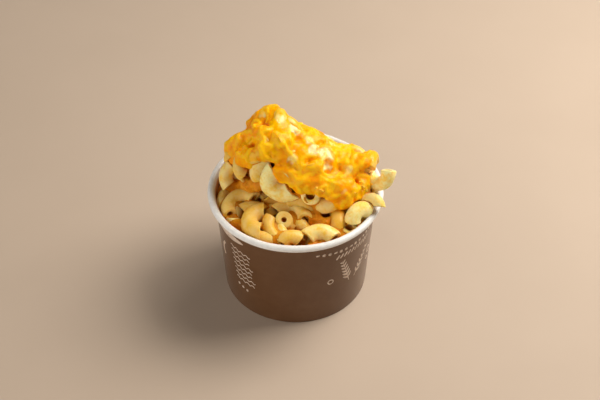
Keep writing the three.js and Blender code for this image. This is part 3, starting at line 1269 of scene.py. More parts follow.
LEADING_ELBOWS = (
    # on the bed, from left to right along the front
    Elbow((-37.2, -5.3, 56.4), (-1, 0, 0.1), (0, -1, 0), radius=3.5, bend=9, sweep=100,
          tone=0.6),
    Elbow((-31.2, -7, 60.1), (-0.6, 0.8, 0), (0.8, 0.6, 0.2), radius=3.5, bend=7.7, sweep=171,
          tone=0.75, bore=0.45),
    Elbow((-21, -11.4, 58), (0.1, 0.8, 0.6), (1, -0.1, 0), radius=3.6, bend=6.9, sweep=100,
          tone=0.8),
    Elbow((-22.9, -22.8, 58.8), (-1, 0.1, 0.1), (-0.1, -1, 0), radius=4.8, bend=7.4, sweep=158,
          tone=0.85),
    Elbow((-12.6, -29.4, 58.5), (-0.9, -0.4, 0), (0.4, -0.8, -0.3), radius=3.5, bend=9,
          sweep=100, tone=0.95, bore=0.34),
    Elbow((-16, -33.1, 57), (-0.3, -0.7, 0.6), (0.9, -0.3, 0), radius=3.5, bend=9, sweep=100,
          tone=0.8),
    Elbow((-0.5, -14.5, 59.8), (0.4, 0.9, 0.2), (0.9, -0.4, 0), radius=3.9, bend=9, sweep=127,
          tone=0.7),
    Elbow((-4.2, -22.1, 57), (-0.6, 0.8, -0.3), (0.6, 0.1, -0.8), radius=4.1, bend=6.3,
          sweep=100, tone=0.7, bore=0.3),
    Elbow((-2.7, -33.9, 58.8), (-0.2, 0.7, 0.7), (1, 0.2, 0.1), radius=3.8, bend=6, sweep=100,
          tone=0.85),
    Elbow((12.2, -30.3, 58.4), (0, 0.8, 0.5), (1, 0, -0.1), radius=4.4, bend=9, sweep=100,
          tone=0.45),
    Elbow((21.5, -21.3, 58.3), (0.4, -0.2, 0.9), (0, -1, -0.2), radius=3.9, bend=6.7, sweep=118,
          tone=1),
    Elbow((30.9, -20.2, 63.5), (-0.3, 0, 1), (0.8, 0.6, 0.2), radius=4.1, bend=5, sweep=131,
          tone=0.15, free=True),
    Elbow((37.3, -13.4, 66), (-0.1, 0.7, 0.7), (0.8, -0.4, 0.5), radius=2.8, bend=5, sweep=174,
          tone=0.35, free=True),
    # under the front of the crown
    Elbow((-11.8, -7.9, 69.5), (-0.8, 0, -0.7), (-0.6, 0.4, 0.7), radius=5.5, bend=7.6,
          sweep=181, tone=0),
    Elbow((-7.4, -8.1, 59), (0.1, -0.2, -1), (1, -0.2, 0.1), radius=3.2, bend=9, sweep=100,
          tone=1),
    Elbow((9.8, -11, 66.5), (-0.6, 0.2, -0.8), (0.6, 0.8, -0.2), radius=4.7, bend=9, sweep=100,
          tone=0.1),
    Elbow((15.8, -15.9, 63.6), (-0.2, -0.8, 0.5), (1, 0, 0.3), radius=3.9, bend=7.8, sweep=100,
          tone=0.45),
    # on the left flank
    Elbow((-35.3, 2.6, 67.5), (-1, 0.2, 0.1), (-0.2, -0.5, -0.8), radius=3.6, bend=7, sweep=100,
          tone=0.5),
    Elbow((-31.5, 8.5, 80.5), (-0.8, 0.5, 0.2), (-0.5, -0.5, -0.7), radius=3.6, sweep=100,
          tone=1, free=True),
    Elbow((-28.8, -1.4, 76.8), (-0.9, -0.4, 0.3), (0, -0.6, -0.8), radius=3.1, bend=5,
          sweep=115, tone=0.7),
    Elbow((-19.1, -5.6, 79.2), (-0.8, -0.4, 0.4), (-0.4, -0.2, -0.9), radius=3.4, bend=7.6,
          sweep=100, tone=0.5),
    # on the toe, and hanging out over the rim
    Elbow((43, -6.4, 69.5), (0.3, -0.6, -0.8), (0.7, -0.4, 0.6), radius=3.7, bend=7.2,
          sweep=160, tone=0, free=True),
    Elbow((38.1, 4.8, 77), (0.2, 0.3, 0.9), (0.2, 0.9, -0.3), radius=3.5, sweep=125, tone=1,
          bore=0.2, free=True),
    Elbow((25.6, 8.9, 77.8), (-0.4, 0.8, 0.3), (0.9, 0.5, -0.1), radius=3.1, bend=7.1,
          sweep=190, tone=0.6),
    # on the peak, and near the top down the right of the ridge
    Elbow((-12.6, 17.2, 94.2), (-0.1, 0.2, 1), (1, -0.1, 0.1), radius=4, bend=5.9, sweep=131,
          tone=0.6, free=True),
    Elbow((-7.9, 9.3, 96.9), (0.4, -0.3, 0.9), (-0.3, -1, -0.2), radius=3.5, bend=6.7,
          sweep=111, tone=0, free=True),
    Elbow((-0.7, 9.5, 92.5), (0.4, -0.6, 0.7), (0.6, -0.4, -0.7), radius=3.4, bend=5.8,
          sweep=104, tone=0, free=True),
    Elbow((6.3, 7.3, 87.1), (0.1, -0.1, 1), (0.5, -0.9, -0.1), radius=3.2, bend=6.3, sweep=100,
          tone=0, free=True),
    Elbow((8.7, -0.1, 85.6), (0.3, -0.4, 0.9), (0.9, -0.2, -0.3), radius=3.6, bend=5, sweep=108,
          tone=0, free=True),
    Elbow((15.8, 0.5, 82.4), (-0.3, -0.3, 0.9), (-0.1, -1, -0.3), radius=3.7, sweep=141, tone=0,
          free=True),
    Elbow((-1.7, -3.3, 82.4), (0.2, -0.2, 1), (0.9, -0.4, -0.2), radius=3.6, bend=5.4,
          sweep=101, tone=0, free=True),
)


def nearest(groups: np.ndarray, line: np.ndarray) -> np.ndarray:
    """Find how near groups of points come to one line of points.

    Args:
        groups: An array of groups by points by three.
        line: Rows of x, y and z.

    Returns:
        The least distance for each group.
    """
    off = groups[:, :, None] - line[None, None]
    return np.sqrt((off * off).sum(-1).min((1, 2)))


def hides(groups: np.ndarray, line: np.ndarray, reach: np.ndarray) -> np.ndarray:
    """Say which groups of points hide part of one line of points from the front.

    Args:
        groups: An array of groups by points by three.
        line: Rows of x, y and z.
        reach: How far aside each group still hides it.

    Returns:
        True for each group that does.
    """
    off = groups[:, :, None] - line[None, None]
    ahead = off @ FROM_FRONT
    aside = np.sqrt(np.maximum((off * off).sum(-1) - ahead**2, 0))
    return ((aside < reach[:, None, None]) & (ahead < 0)).any((1, 2))


@dataclass
class Pile:
    """The elbows that show, packed against each other under the heap's outline."""

    heap: Heap
    layers: tuple = ((5.2, 3000), (8.0, 3000), (12.0, 3000))  # how deep, and how many tries
    crown_share: float = 0.68  # of the loose elbows that are tried
    beads: int = 7  # spheres along each elbow, by which it feels its neighbours
    crowding: float = 3.2  # how far two may cross when one is dropped in
    squeeze: float = 0.6  # how far they may press into each other once settled
    press: float = 2.2  # how much further they may press into the laid ones
    stand_out: float = 0.7  # how far a skin may stand above the outline
    margin: float = 0.25  # between a settled elbow and the tub
    rounds: int = 120  # how often they are pushed apart
    haste: float = 1.5  # how much of its pushes an elbow follows
    arm: float = 45.0  # the square of the arm by which a push turns it
    homing: float = 0.012  # how strongly it goes back to where it was dropped
    seed: int = 41
    around: int = 20  # points round each tube
    # where no loose elbow may reach: middle and radius
    cleared: tuple = (
        ((10, -34.6, 57.4), 5), ((-26, -22.5, 58), 4), ((-24, -11, 60), 4),
        ((-31.6, -2, 68), 4), ((-24.2, -4.5, 77), 4), ((-24.4, -6, 68), 4.5),
        ((-1, 19, 90.5), 7), ((-5.7, -29.2, 59.8), 3), ((9.3, -17, 60.5), 5.5),
        ((1.8, -12.7, 62), 4.5), ((-21.9, -7.2, 66.4), 5.5),
    )
    elbows: list[Elbow] = field(default_factory=list)

    def loose(self, draw: np.random.Generator, point: np.ndarray, out: np.ndarray) -> Elbow:
        """Drop an elbow at a point, lying on its side, its back or its ends.

        Args:
            draw: The random numbers.
            point: Where the middle of its arc goes.
            out: The way out of the heap there.

        Returns:
            The elbow.
        """
        stance = draw.choice(list(Stance), p=[0.5, 0.32, 0.18]).value
        flat = unit(np.cross(out, draw.normal(size=3)))
        hump = unit(out * stance + flat * math.sqrt(max(0.0, 1 - stance**2))
                    + 0.3 * draw.normal(size=3))
        run = np.cross(hump, out + 0.5 * draw.normal(size=3))
        bend = 6.6 * draw.uniform(0.88, 1.18)
        at = point + hump * bend * 0.4
        return Elbow(tuple(at), tuple(hump), tuple(run), radius=3.75 * draw.uniform(0.86, 1.14),
                     bend=bend, sweep=draw.uniform(135, 185))

    def fill(self) -> None:
        """Lay the leading elbows, then add loose ones wherever one fits, deeper and deeper."""
        draw = np.random.default_rng(self.seed)
        self.elbows = [Elbow(**{**vars(e), "fixed": True}) for e in LEADING_ELBOWS]
        for sunk, tries in self.layers:
            self.pack([self.dropped(draw, sunk) for _ in range(tries)])

    def dropped(self, draw: np.random.Generator, sunk: float) -> Elbow:
        """Drop a loose elbow anywhere on the crown or the bed.

        Args:
            draw: The random numbers.
            sunk: How deep the middle of its arc lies under the outline.

        Returns:
            The elbow.
        """
        turn = draw.uniform(0, 2 * math.pi)
        if draw.random() < self.crown_share:
            high = draw.uniform(-0.25, 1)
            wide = math.sqrt(1 - high * high)
            out = np.array([wide * math.cos(turn), wide * math.sin(turn), high])
            reach = self.heap.crown_radius(out[None])[0] - sunk
            return self.loose(draw, np.array(self.heap.seat) + out * reach, out)
        wide = self.heap.tub.inner(58.0) * math.sqrt(draw.uniform(0.15, 0.92))
        point = np.array([wide * math.cos(turn), wide * math.sin(turn), 0])
        point[2] = self.heap.bed_height(point[None])[0] - sunk
        return self.loose(draw, point, UP)

    def pack(self, tries: list[Elbow]) -> None:
        """Keep those tries, in turn, that clear the outline, the tub and all kept before.

        Args:
            tries: Loose elbows.
        """
        beads = self.beads_of(tries)
        radius = np.array([e.radius for e in tries])
        deep = self.heap.depth(beads.reshape(-1, 3)).reshape(-1, self.beads)
        proud = radius - self.stand_out - deep.min(1)
        seat = np.array(self.heap.seat)
        for elbow, over, middle in zip(tries, proud, beads.mean(1)):
            if over > 0:
                elbow.at = tuple(np.array(elbow.at) - unit(middle - seat) * over)
        beads = self.beads_of(tries)
        flat = beads.reshape(-1, 3)
        room = np.where(flat[:, 2] < self.heap.tub.height + 5, self.heap.in_tub(flat), 99)
        clash = radius + 0.1 - room.reshape(-1, self.beads).min(1)
        clash = np.where(proud > 4, 99, clash)
        for middle, reach in self.cleared:
            clash[nearest(beads, np.array([middle])) < reach] = 99
        for elbow, line in zip(self.elbows, self.beads_of(self.elbows)):
            give = self.press if elbow.fixed else 0
            clash = np.maximum(clash, radius + elbow.radius - give - nearest(beads, line))
            if elbow.fixed:
                clash[hides(beads, line, (radius + elbow.radius) * 0.5)] = 99
        for i, elbow in enumerate(tries):
            if clash[i] < self.crowding:
                self.elbows.append(elbow)
                apart = nearest(beads[i + 1:], beads[i])
                clash[i + 1:] = np.maximum(clash[i + 1:],
                                           radius[i + 1:] + elbow.radius - apart)

    def own_beads(self, elbows: Sequence[Elbow]) -> np.ndarray:
        """Place each elbow's beads along its arc, in its own axes.

        Args:
            elbows: The elbows.

        Returns:
            An array of elbows by beads by three.
        """
        half = np.radians([e.sweep / 2 for e in elbows])[:, None]
        bend = np.array([e.bend for e in elbows])[:, None]
        turn = half * np.linspace(-0.93, 0.93, self.beads)[None, :]
        return np.stack([bend * np.sin(turn), 0 * turn, bend * (np.cos(turn) - 1)], -1)

    def beads_of(self, elbows: Sequence[Elbow]) -> np.ndarray:
        """Place each elbow's beads where the elbow lies.

        Args:
            elbows: The elbows.

        Returns:
            An array of elbows by beads by three.
        """
        at = np.array([e.at for e in elbows])
        turn = np.array([e.turn() for e in elbows])
        return at[:, None] + np.einsum("nij,nkj->nki", turn, self.own_beads(elbows))

    def settle(self) -> None:
        """Push the elbows apart, off the tub and under the outline, until they fit."""
        own = self.own_beads(self.elbows)
        count = len(self.elbows)
        at = np.array([e.at for e in self.elbows], float)
        home = at.copy()
        turn = np.array([e.turn() for e in self.elbows])
        radius = np.repeat([e.radius for e in self.elbows], self.beads)
        loose = np.array([0.0 if e.fixed else 1.0 for e in self.elbows])
        free = np.repeat([e.free for e in self.elbows], self.beads)
        owner = np.repeat(np.arange(count), self.beads)
        laid = 1 - loose[owner]
        wanted = radius[:, None] + radius[None, :] - self.squeeze
        wanted -= self.press * np.maximum(laid[:, None], laid[None, :])
        for _ in range(self.rounds):
            beads = (at[:, None] + np.einsum("nij,nkj->nki", turn, own)).reshape(-1, 3)
            square = (beads * beads).sum(1)
            apart = np.sqrt(np.maximum(square[:, None] + square[None] - 2 * beads @ beads.T,
                                       1e-6))
            close = (apart < wanted) & (owner[:, None] < owner[None, :])
            a, b = np.nonzero(close)
            way = (beads[a] - beads[b]) / apart[a, b][:, None]
            push = way * (wanted[a, b] - apart[a, b])[:, None]
            both = np.maximum(loose[owner[a]] + loose[owner[b]], 1)[:, None]
            shift = np.zeros_like(beads)
            touch = np.zeros(len(beads))
            np.add.at(shift, a, push * loose[owner[a]][:, None] / both)
            np.add.at(shift, b, -push * loose[owner[b]][:, None] / both)
            np.add.at(touch, a, 1)
            np.add.at(touch, b, 1)
            self.hold_in(beads, radius, free, shift, touch)
            total = np.maximum(touch.reshape(count, -1).sum(1), 1)[:, None]
            moved = shift.reshape(count, -1, 3)
            arm = beads.reshape(count, -1, 3) - at[:, None]
            step = self.haste * moved.sum(1) / total
            spin = self.haste * np.cross(arm, moved).sum(1) / total / self.arm
            at += (step + (home - at) * self.homing) * loose[:, None]
            turn = self.spun(turn, spin * loose[:, None])
        for elbow, point, axes in zip(self.elbows, at, turn):
            elbow.at = tuple(point)
            elbow.run = tuple(axes[:, 0])
            elbow.hump = tuple(axes[:, 2])

    def hold_in(self, beads: np.ndarray, radius: np.ndarray, free: np.ndarray,
                shift: np.ndarray, touch: np.ndarray) -> None:
        """Push beads back under the outline and off the tub.

        Args:
            beads: The beads' middles.
            radius: Their radii.
            free: Which may stand out of the outline.
            shift: The pushes so far, which this adds to.
            touch: How many pushes each bead has, which this adds to.
        """
        proud = radius - self.stand_out - self.heap.depth(beads)
        out = unit(beads - np.array(self.heap.seat))
        over = (proud > 0) & ~free
        shift[over] -= out[over] * (proud[over] * 0.5)[:, None]
        touch[over] += 1
        past = radius + self.margin - self.heap.in_tub(beads)
        flat = unit(beads * np.array([1, 1, 0]))
        low = (past > 0) & (beads[:, 2] < self.heap.tub.height + 6)
        shift[low] -= flat[low] * past[low][:, None] * 0.8
        shift[low & (beads[:, 2] > self.heap.tub.height), 2] += 0.3
        touch[low] += 1

    @staticmethod
    def spun(turn: np.ndarray, spin: np.ndarray) -> np.ndarray:
        """Turn axes by small rotation vectors.

        Args:
            turn: Axes, one set to an elbow.
            spin: A rotation vector for each.

        Returns:
            The turned axes, square again.
        """
        moved = turn + np.cross(spin[:, None, :], turn.transpose(0, 2, 1)).transpose(0, 2, 1)
        out = unit(moved[:, :, 2])
        side = unit(np.cross(out, moved[:, :, 0]))
        return np.stack([np.cross(side, out), side, out], -1)

    def tube(self, elbow: Elbow, number: int) -> Shell:
        """Make one elbow's mesh: outside, lips and bore in one closed skin.

        Args:
            elbow: Where it lies, and its sizes.
            number: Its place in the pile, which seeds its unevenness.

        Returns:
            The skin, with its tone and its inside marked.
        """
        draw = np.random.default_rng(900 + number)
        half = math.radians(elbow.sweep / 2)
        bore = elbow.radius * (draw.uniform(0.46, 0.56) if elbow.bore is None else elbow.bore)
        lip = 0.35
        wall = elbow.radius - bore
        back = lip / elbow.bend
        out = np.linspace(-half + back, half - back, 14)
        inner = np.linspace(half - back, -half + back, 9)
        mouth = [(half - 0.3 * back, elbow.radius - 0.08), (half, elbow.radius - 0.3 * wall),
                 (half, bore + 0.3 * wall), (half - 0.3 * back, bore + 0.08)]
        rows = ([(a, elbow.radius, 0.0) for a in out] + [(a, r, 0.0) for a, r in mouth]
                + [(a, bore, 1.0) for a in inner]
                + [(-a, r, 0.0) for a, r in mouth[::-1]])
        turn, far, inside = (np.array(column)[:, None] for column in zip(*rows))
        spot = np.linspace(0, 2 * math.pi, self.around, endpoint=False)[None, :]
        flare = 1 + draw.uniform(0.02, 0.09) * (np.abs(turn) / half) ** 4
        pinch = 1 - draw.uniform(0.02, 0.12) * np.exp(-(turn / 0.5) ** 2)
        spread = 1 + draw.uniform(0.0, 0.07) * np.exp(-(turn / 0.7) ** 2)
        radial = far * flare * pinch * np.cos(spot)
        lateral = far * flare * spread * np.sin(spot)
        slant = draw.uniform(-0.16, 0.16, 2)
        tilt = np.where(turn > 0, slant[0], slant[1]) * (np.abs(turn) / half) ** 6
        angle = turn + tilt * np.cos(spot + draw.uniform(0, 6)) * far / elbow.radius
        reach = elbow.bend + radial
        drift = draw.uniform(-0.9, 0.9) * (turn / half) ** 2
        local = np.stack([reach * np.sin(angle), lateral + drift,
                          reach * np.cos(angle) - elbow.bend], -1).reshape(-1, 3)
        points = local @ elbow.turn().T + np.array(elbow.at)
        uneven = Ripple(9.0, 61).at(points) * 0.2 + Ripple(4.5, 62).at(points) * 0.06
        axis = np.stack([elbow.bend * np.sin(angle), 0 * angle + drift,
                         elbow.bend * (np.cos(angle) - 1)], -1).reshape(-1, 3)
        outward = unit((local - axis) @ elbow.turn().T)
        sign = np.repeat(1 - 1.3 * inside, self.around, 1).ravel()
        points = points + outward * (uneven * sign)[:, None]
        same = np.ones(len(points))
        return Shell(points, wrapped(len(rows), self.around, True)[:, ::-1], {
            "tone": same * (draw.uniform(0.1, 0.9) if elbow.tone is None else elbow.tone),
            "inside": np.repeat(inside, self.around, 1).ravel(),
        })

    def build(self, effects: Effects, thickness: Callable[[np.ndarray], np.ndarray]) -> Shell:
        """Make every elbow in one mesh and place it.

        Args:
            effects: The shared node groups.
            thickness: Gives the cheddar's thickness over points.

        Returns:
            The elbows' skins.
        """
        shell = Shell.joined([self.tube(e, i) for i, e in enumerate(self.elbows)])
        depth = self.heap.depth(shell.points)
        # How deep each point lies under the outline, which the pasta's painted shade follows.
        shell.values["deep"] = ease(0.5, 12.0, depth)
        shell.values["cheesed"] = ease(-1.4, 0.2, thickness(shell.points))
        pasta = PastaFinish("creamy_pasta", roughness=0.42, coat=0.16, coat_roughness=0.22,
                            specular=0.15, subsurface=0.35, subsurface_reach=2.0,
                            subsurface_radius=(1.0, 0.62, 0.28))
        place(shell.object("elbow_macaroni", pasta.build(effects)), ["macaroni"])
        return shell


# ---------------------------------------------------------------- sauce and cheddar


@dataclass
class Grid:
    """A block of evenly spaced points that a soft body is worked out on."""

    low: Triple
    high: Triple
    step: float

    def __post_init__(self) -> None:
        """Lay the points out."""
        self.axes = [np.arange(a, b, self.step, dtype=np.float32)
                     for a, b in zip(self.low, self.high)]
        self.shape = tuple(len(axis) for axis in self.axes)
        self.total = np.zeros(self.shape, np.float32)
        self.bores = np.full(self.shape, 50.0, np.float32)

    def points(self) -> np.ndarray:
        """Every point, as rows of x, y and z."""
        return np.stack(np.meshgrid(*self.axes, indexing="ij"), -1).reshape(-1, 3)

    def melt(self, elbow: Elbow, swell: float, blend: float, mouth: float) -> None:
        """Add an elbow to the body, softly joined to what is there.

        Args:
            elbow: The elbow.
            swell: How far its skin is moved out.
            blend: How softly it joins its neighbours.
            mouth: Degrees of its bore that stay open at each end.
        """
        reach = elbow.bend + elbow.radius + swell + 3.5 * blend
        axes = elbow.turn()
        middle = np.array(elbow.at) - axes[:, 2] * elbow.bend * 0.5
        spans = []
        for axis, centre in zip(self.axes, middle):
            first, last = np.searchsorted(axis, (centre - reach, centre + reach))
            spans.append(slice(first, last))
        if any(span.start >= span.stop for span in spans):
            return
        x, y, z = np.meshgrid(*(axis[span] for axis, span in zip(self.axes, spans)),
                              indexing="ij")
        off = [x - np.float32(elbow.at[0]), y - np.float32(elbow.at[1]),
               z - np.float32(elbow.at[2])]
        own = [sum(np.float32(axes[i, j]) * off[i] for i in range(3)) for j in range(3)]
        own[2] = own[2] + np.float32(elbow.bend)
        out = np.sqrt(own[0] ** 2 + own[2] ** 2)
        turn = np.abs(np.arctan2(own[0], own[2]))
        ring = np.sqrt((out - elbow.bend) ** 2 + own[1] ** 2)
        half = math.radians(elbow.sweep / 2)
        past = (turn - half) * np.maximum(out, 1.0)
        skin = np.maximum(ring - elbow.radius, past) - swell
        spot = tuple(spans)
        self.total[spot] += np.exp(np.clip(-skin / blend, -30, 8))
        if mouth:
            bore = np.maximum(ring - elbow.radius * (elbow.bore or 0.5),
                              -past - math.radians(mouth) * out)
            bore = np.maximum(bore, past - 3.0)
            self.bores[spot] = np.minimum(self.bores[spot], bore)

    def mesh(self, body: np.ndarray, smallest: int = 400) -> Shell:
        """Wrap a skin round where the body's field is under zero.

        Args:
            body: The field, with a positive border.
            smallest: How many points a separate piece needs to stay.

        Returns:
            The skin, in quads that face out.
        """
        inside = body < 0
        cells = np.array(self.shape)
        pace = np.array([cells[1] * cells[2], cells[2], 1])
        home, spot, quads = [], [], []
        for axis in range(3):
            near = [slice(0, -1) if i == axis else slice(1, -1) for i in range(3)]
            far = [slice(1, None) if i == axis else slice(1, -1) for i in range(3)]
            f0, f1 = body[tuple(near)], body[tuple(far)]
            found = np.argwhere(inside[tuple(near)] != inside[tuple(far)])
            a, b = f0[tuple(found.T)], f1[tuple(found.T)]
            corner = found + np.array([0 if i == axis else 1 for i in range(3)])
            where = corner.astype(np.float32)
            where[:, axis] += a / (a - b)
            number = corner @ pace
            u, v = pace[(axis + 1) % 3], pace[(axis + 2) % 3]
            four = np.stack([number - u - v, number - v, number, number - u], -1)
            for column in range(4):
                home.append(four[:, column])
                spot.append(where)
            quads.append(np.where((a < 0)[:, None], four, four[:, ::-1]))
        home, spot = np.concatenate(home), np.concatenate(spot)
        used, home = np.unique(home, return_inverse=True)
        count = np.bincount(home)
        middle = np.stack([np.bincount(home, spot[:, i]) for i in range(3)], -1)
        points = middle / count[:, None] * self.step + np.array([a[0] for a in self.axes])
        faces = np.searchsorted(used, np.concatenate(quads))
        return Shell(points, faces).without_scraps(smallest)


@dataclass(frozen=True)
class Run:
    """A tongue of something melted, from one place to another."""

    start: Triple
    end: Triple
    radius: float

    def skin(self, points: np.ndarray) -> np.ndarray:
        """Measure how far points lie outside it.

        Args:
            points: Rows of x, y and z.

        Returns:
            Millimetres, negative inside.
        """
        start, along = np.array(self.start), np.subtract(self.end, self.start)
        share = np.clip((points - start) @ along / (along @ along), 0, 1)
        off = points - start - share[:, None] * along
        return np.sqrt((off * off).sum(1)) - self.radius


@dataclass
class Sauce:
    """Cheese sauce round the elbows, down to the base of the tub."""

    pile: Pile
    step: float = 0.9
    core_inset: float = 8.6  # how deep the solid core lies under the outline
    film: float = -0.6  # how far it stands over the elbows' skins
    blend: float = 0.85
    straight: float = 46.0  # below this height it is a plain plug in the tub
    rim_pool: tuple = (38.6, 54.0, 2.4)  # radius, height and thickness of what lies at the wall
    runs: tuple = (
        Run((-30, 2, 60), (-19.3, -6.3, 68.5), 3.4),
        Run((5.6, -18.2, 58), (14.5, -22.3, 57), 3.1),
        Run((-31.9, -20.1, 55), (-26.7, -23.4, 56), 2.6),
        Run((22.3, -25, 55), (32.4, -21, 54), 3),
        Run((27.6, -10, 58), (35.8, -7, 56.6), 2.4),
        Run((-2.7, -11.2, 71.5), (0.3, -12.9, 69.6), 2),
    )

    def build(self, effects: Effects) -> None:
        """Make the sauce and place it.

        Args:
            effects: The shared node groups.
        """
        heap, tub = self.pile.heap, self.pile.heap.tub
        grid = Grid((-46, -46, self.straight - 4), (54, 46, 106), self.step)
        for elbow in self.pile.elbows:
            grid.melt(elbow, self.film, self.blend, 32.0)
        points = grid.points()
        core = (self.core_inset - heap.depth(points)) * CORE_SLOPE
        core += 0.9 * Ripple(9.0, 71).at(points) + 0.4 * Ripple(3.6, 73).at(points)
        total = grid.total.ravel() + np.exp(np.clip(-core / self.blend, -30, 8))
        body = -self.blend * np.log(np.maximum(total, 1e-12))
        out, high, thick = self.rim_pool
        pool = np.hypot(np.hypot(points[:, 0], points[:, 1]) - out, points[:, 2] - high) - thick
        body = blended(body, pool + 0.9 * Ripple(7.0, 72).at(points)
                       + 0.4 * Ripple(3.4, 74).at(points), self.blend)
        uneven = 0.7 * Ripple(3.6, 75).at(points)
        for run in self.runs:
            body = blended(body, run.skin(points) + uneven, self.blend)
        body = np.maximum(body, -(grid.bores.ravel() - 0.1))
        wall = 0.12 - heap.in_tub(points)
        body = np.maximum(body, np.where(points[:, 2] < tub.height + 2, wall, -9))
        body = np.maximum(body, self.straight - 2 - points[:, 2])
        body = body.reshape(grid.shape)
        shell = grid.mesh(body).relaxed()
        low = np.clip((self.straight - shell.points[:, 2]) / 2, 0, 1)
        height = shell.points[:, 2] - low * (self.straight - 2 - tub.base_recess
                                             - tub.paper - tub.gap)
        ratio = np.where(low > 0, (tub.inner(height) - 0.15)
                         / (tub.inner(shell.points[:, 2]) - 0.15), 1)
        shell.points[:, :2] *= ratio[:, None]
        shell.points[:, 2] = height
        # How deep each point lies under the outline, which the sauce's painted shade follows.
        shell.values["deep"] = ease(1.5, 13.0, heap.depth(shell.points))
        sauce = SauceFinish("cheese_sauce", roughness=0.38, coat=0.06, coat_roughness=0.2,
                            specular=0.06,
                            subsurface=0.4, subsurface_reach=2.0,
                            subsurface_radius=(1.0, 0.5, 0.12))
        place(shell.object("cheese_sauce", sauce.build(effects)), ["macaroni"])


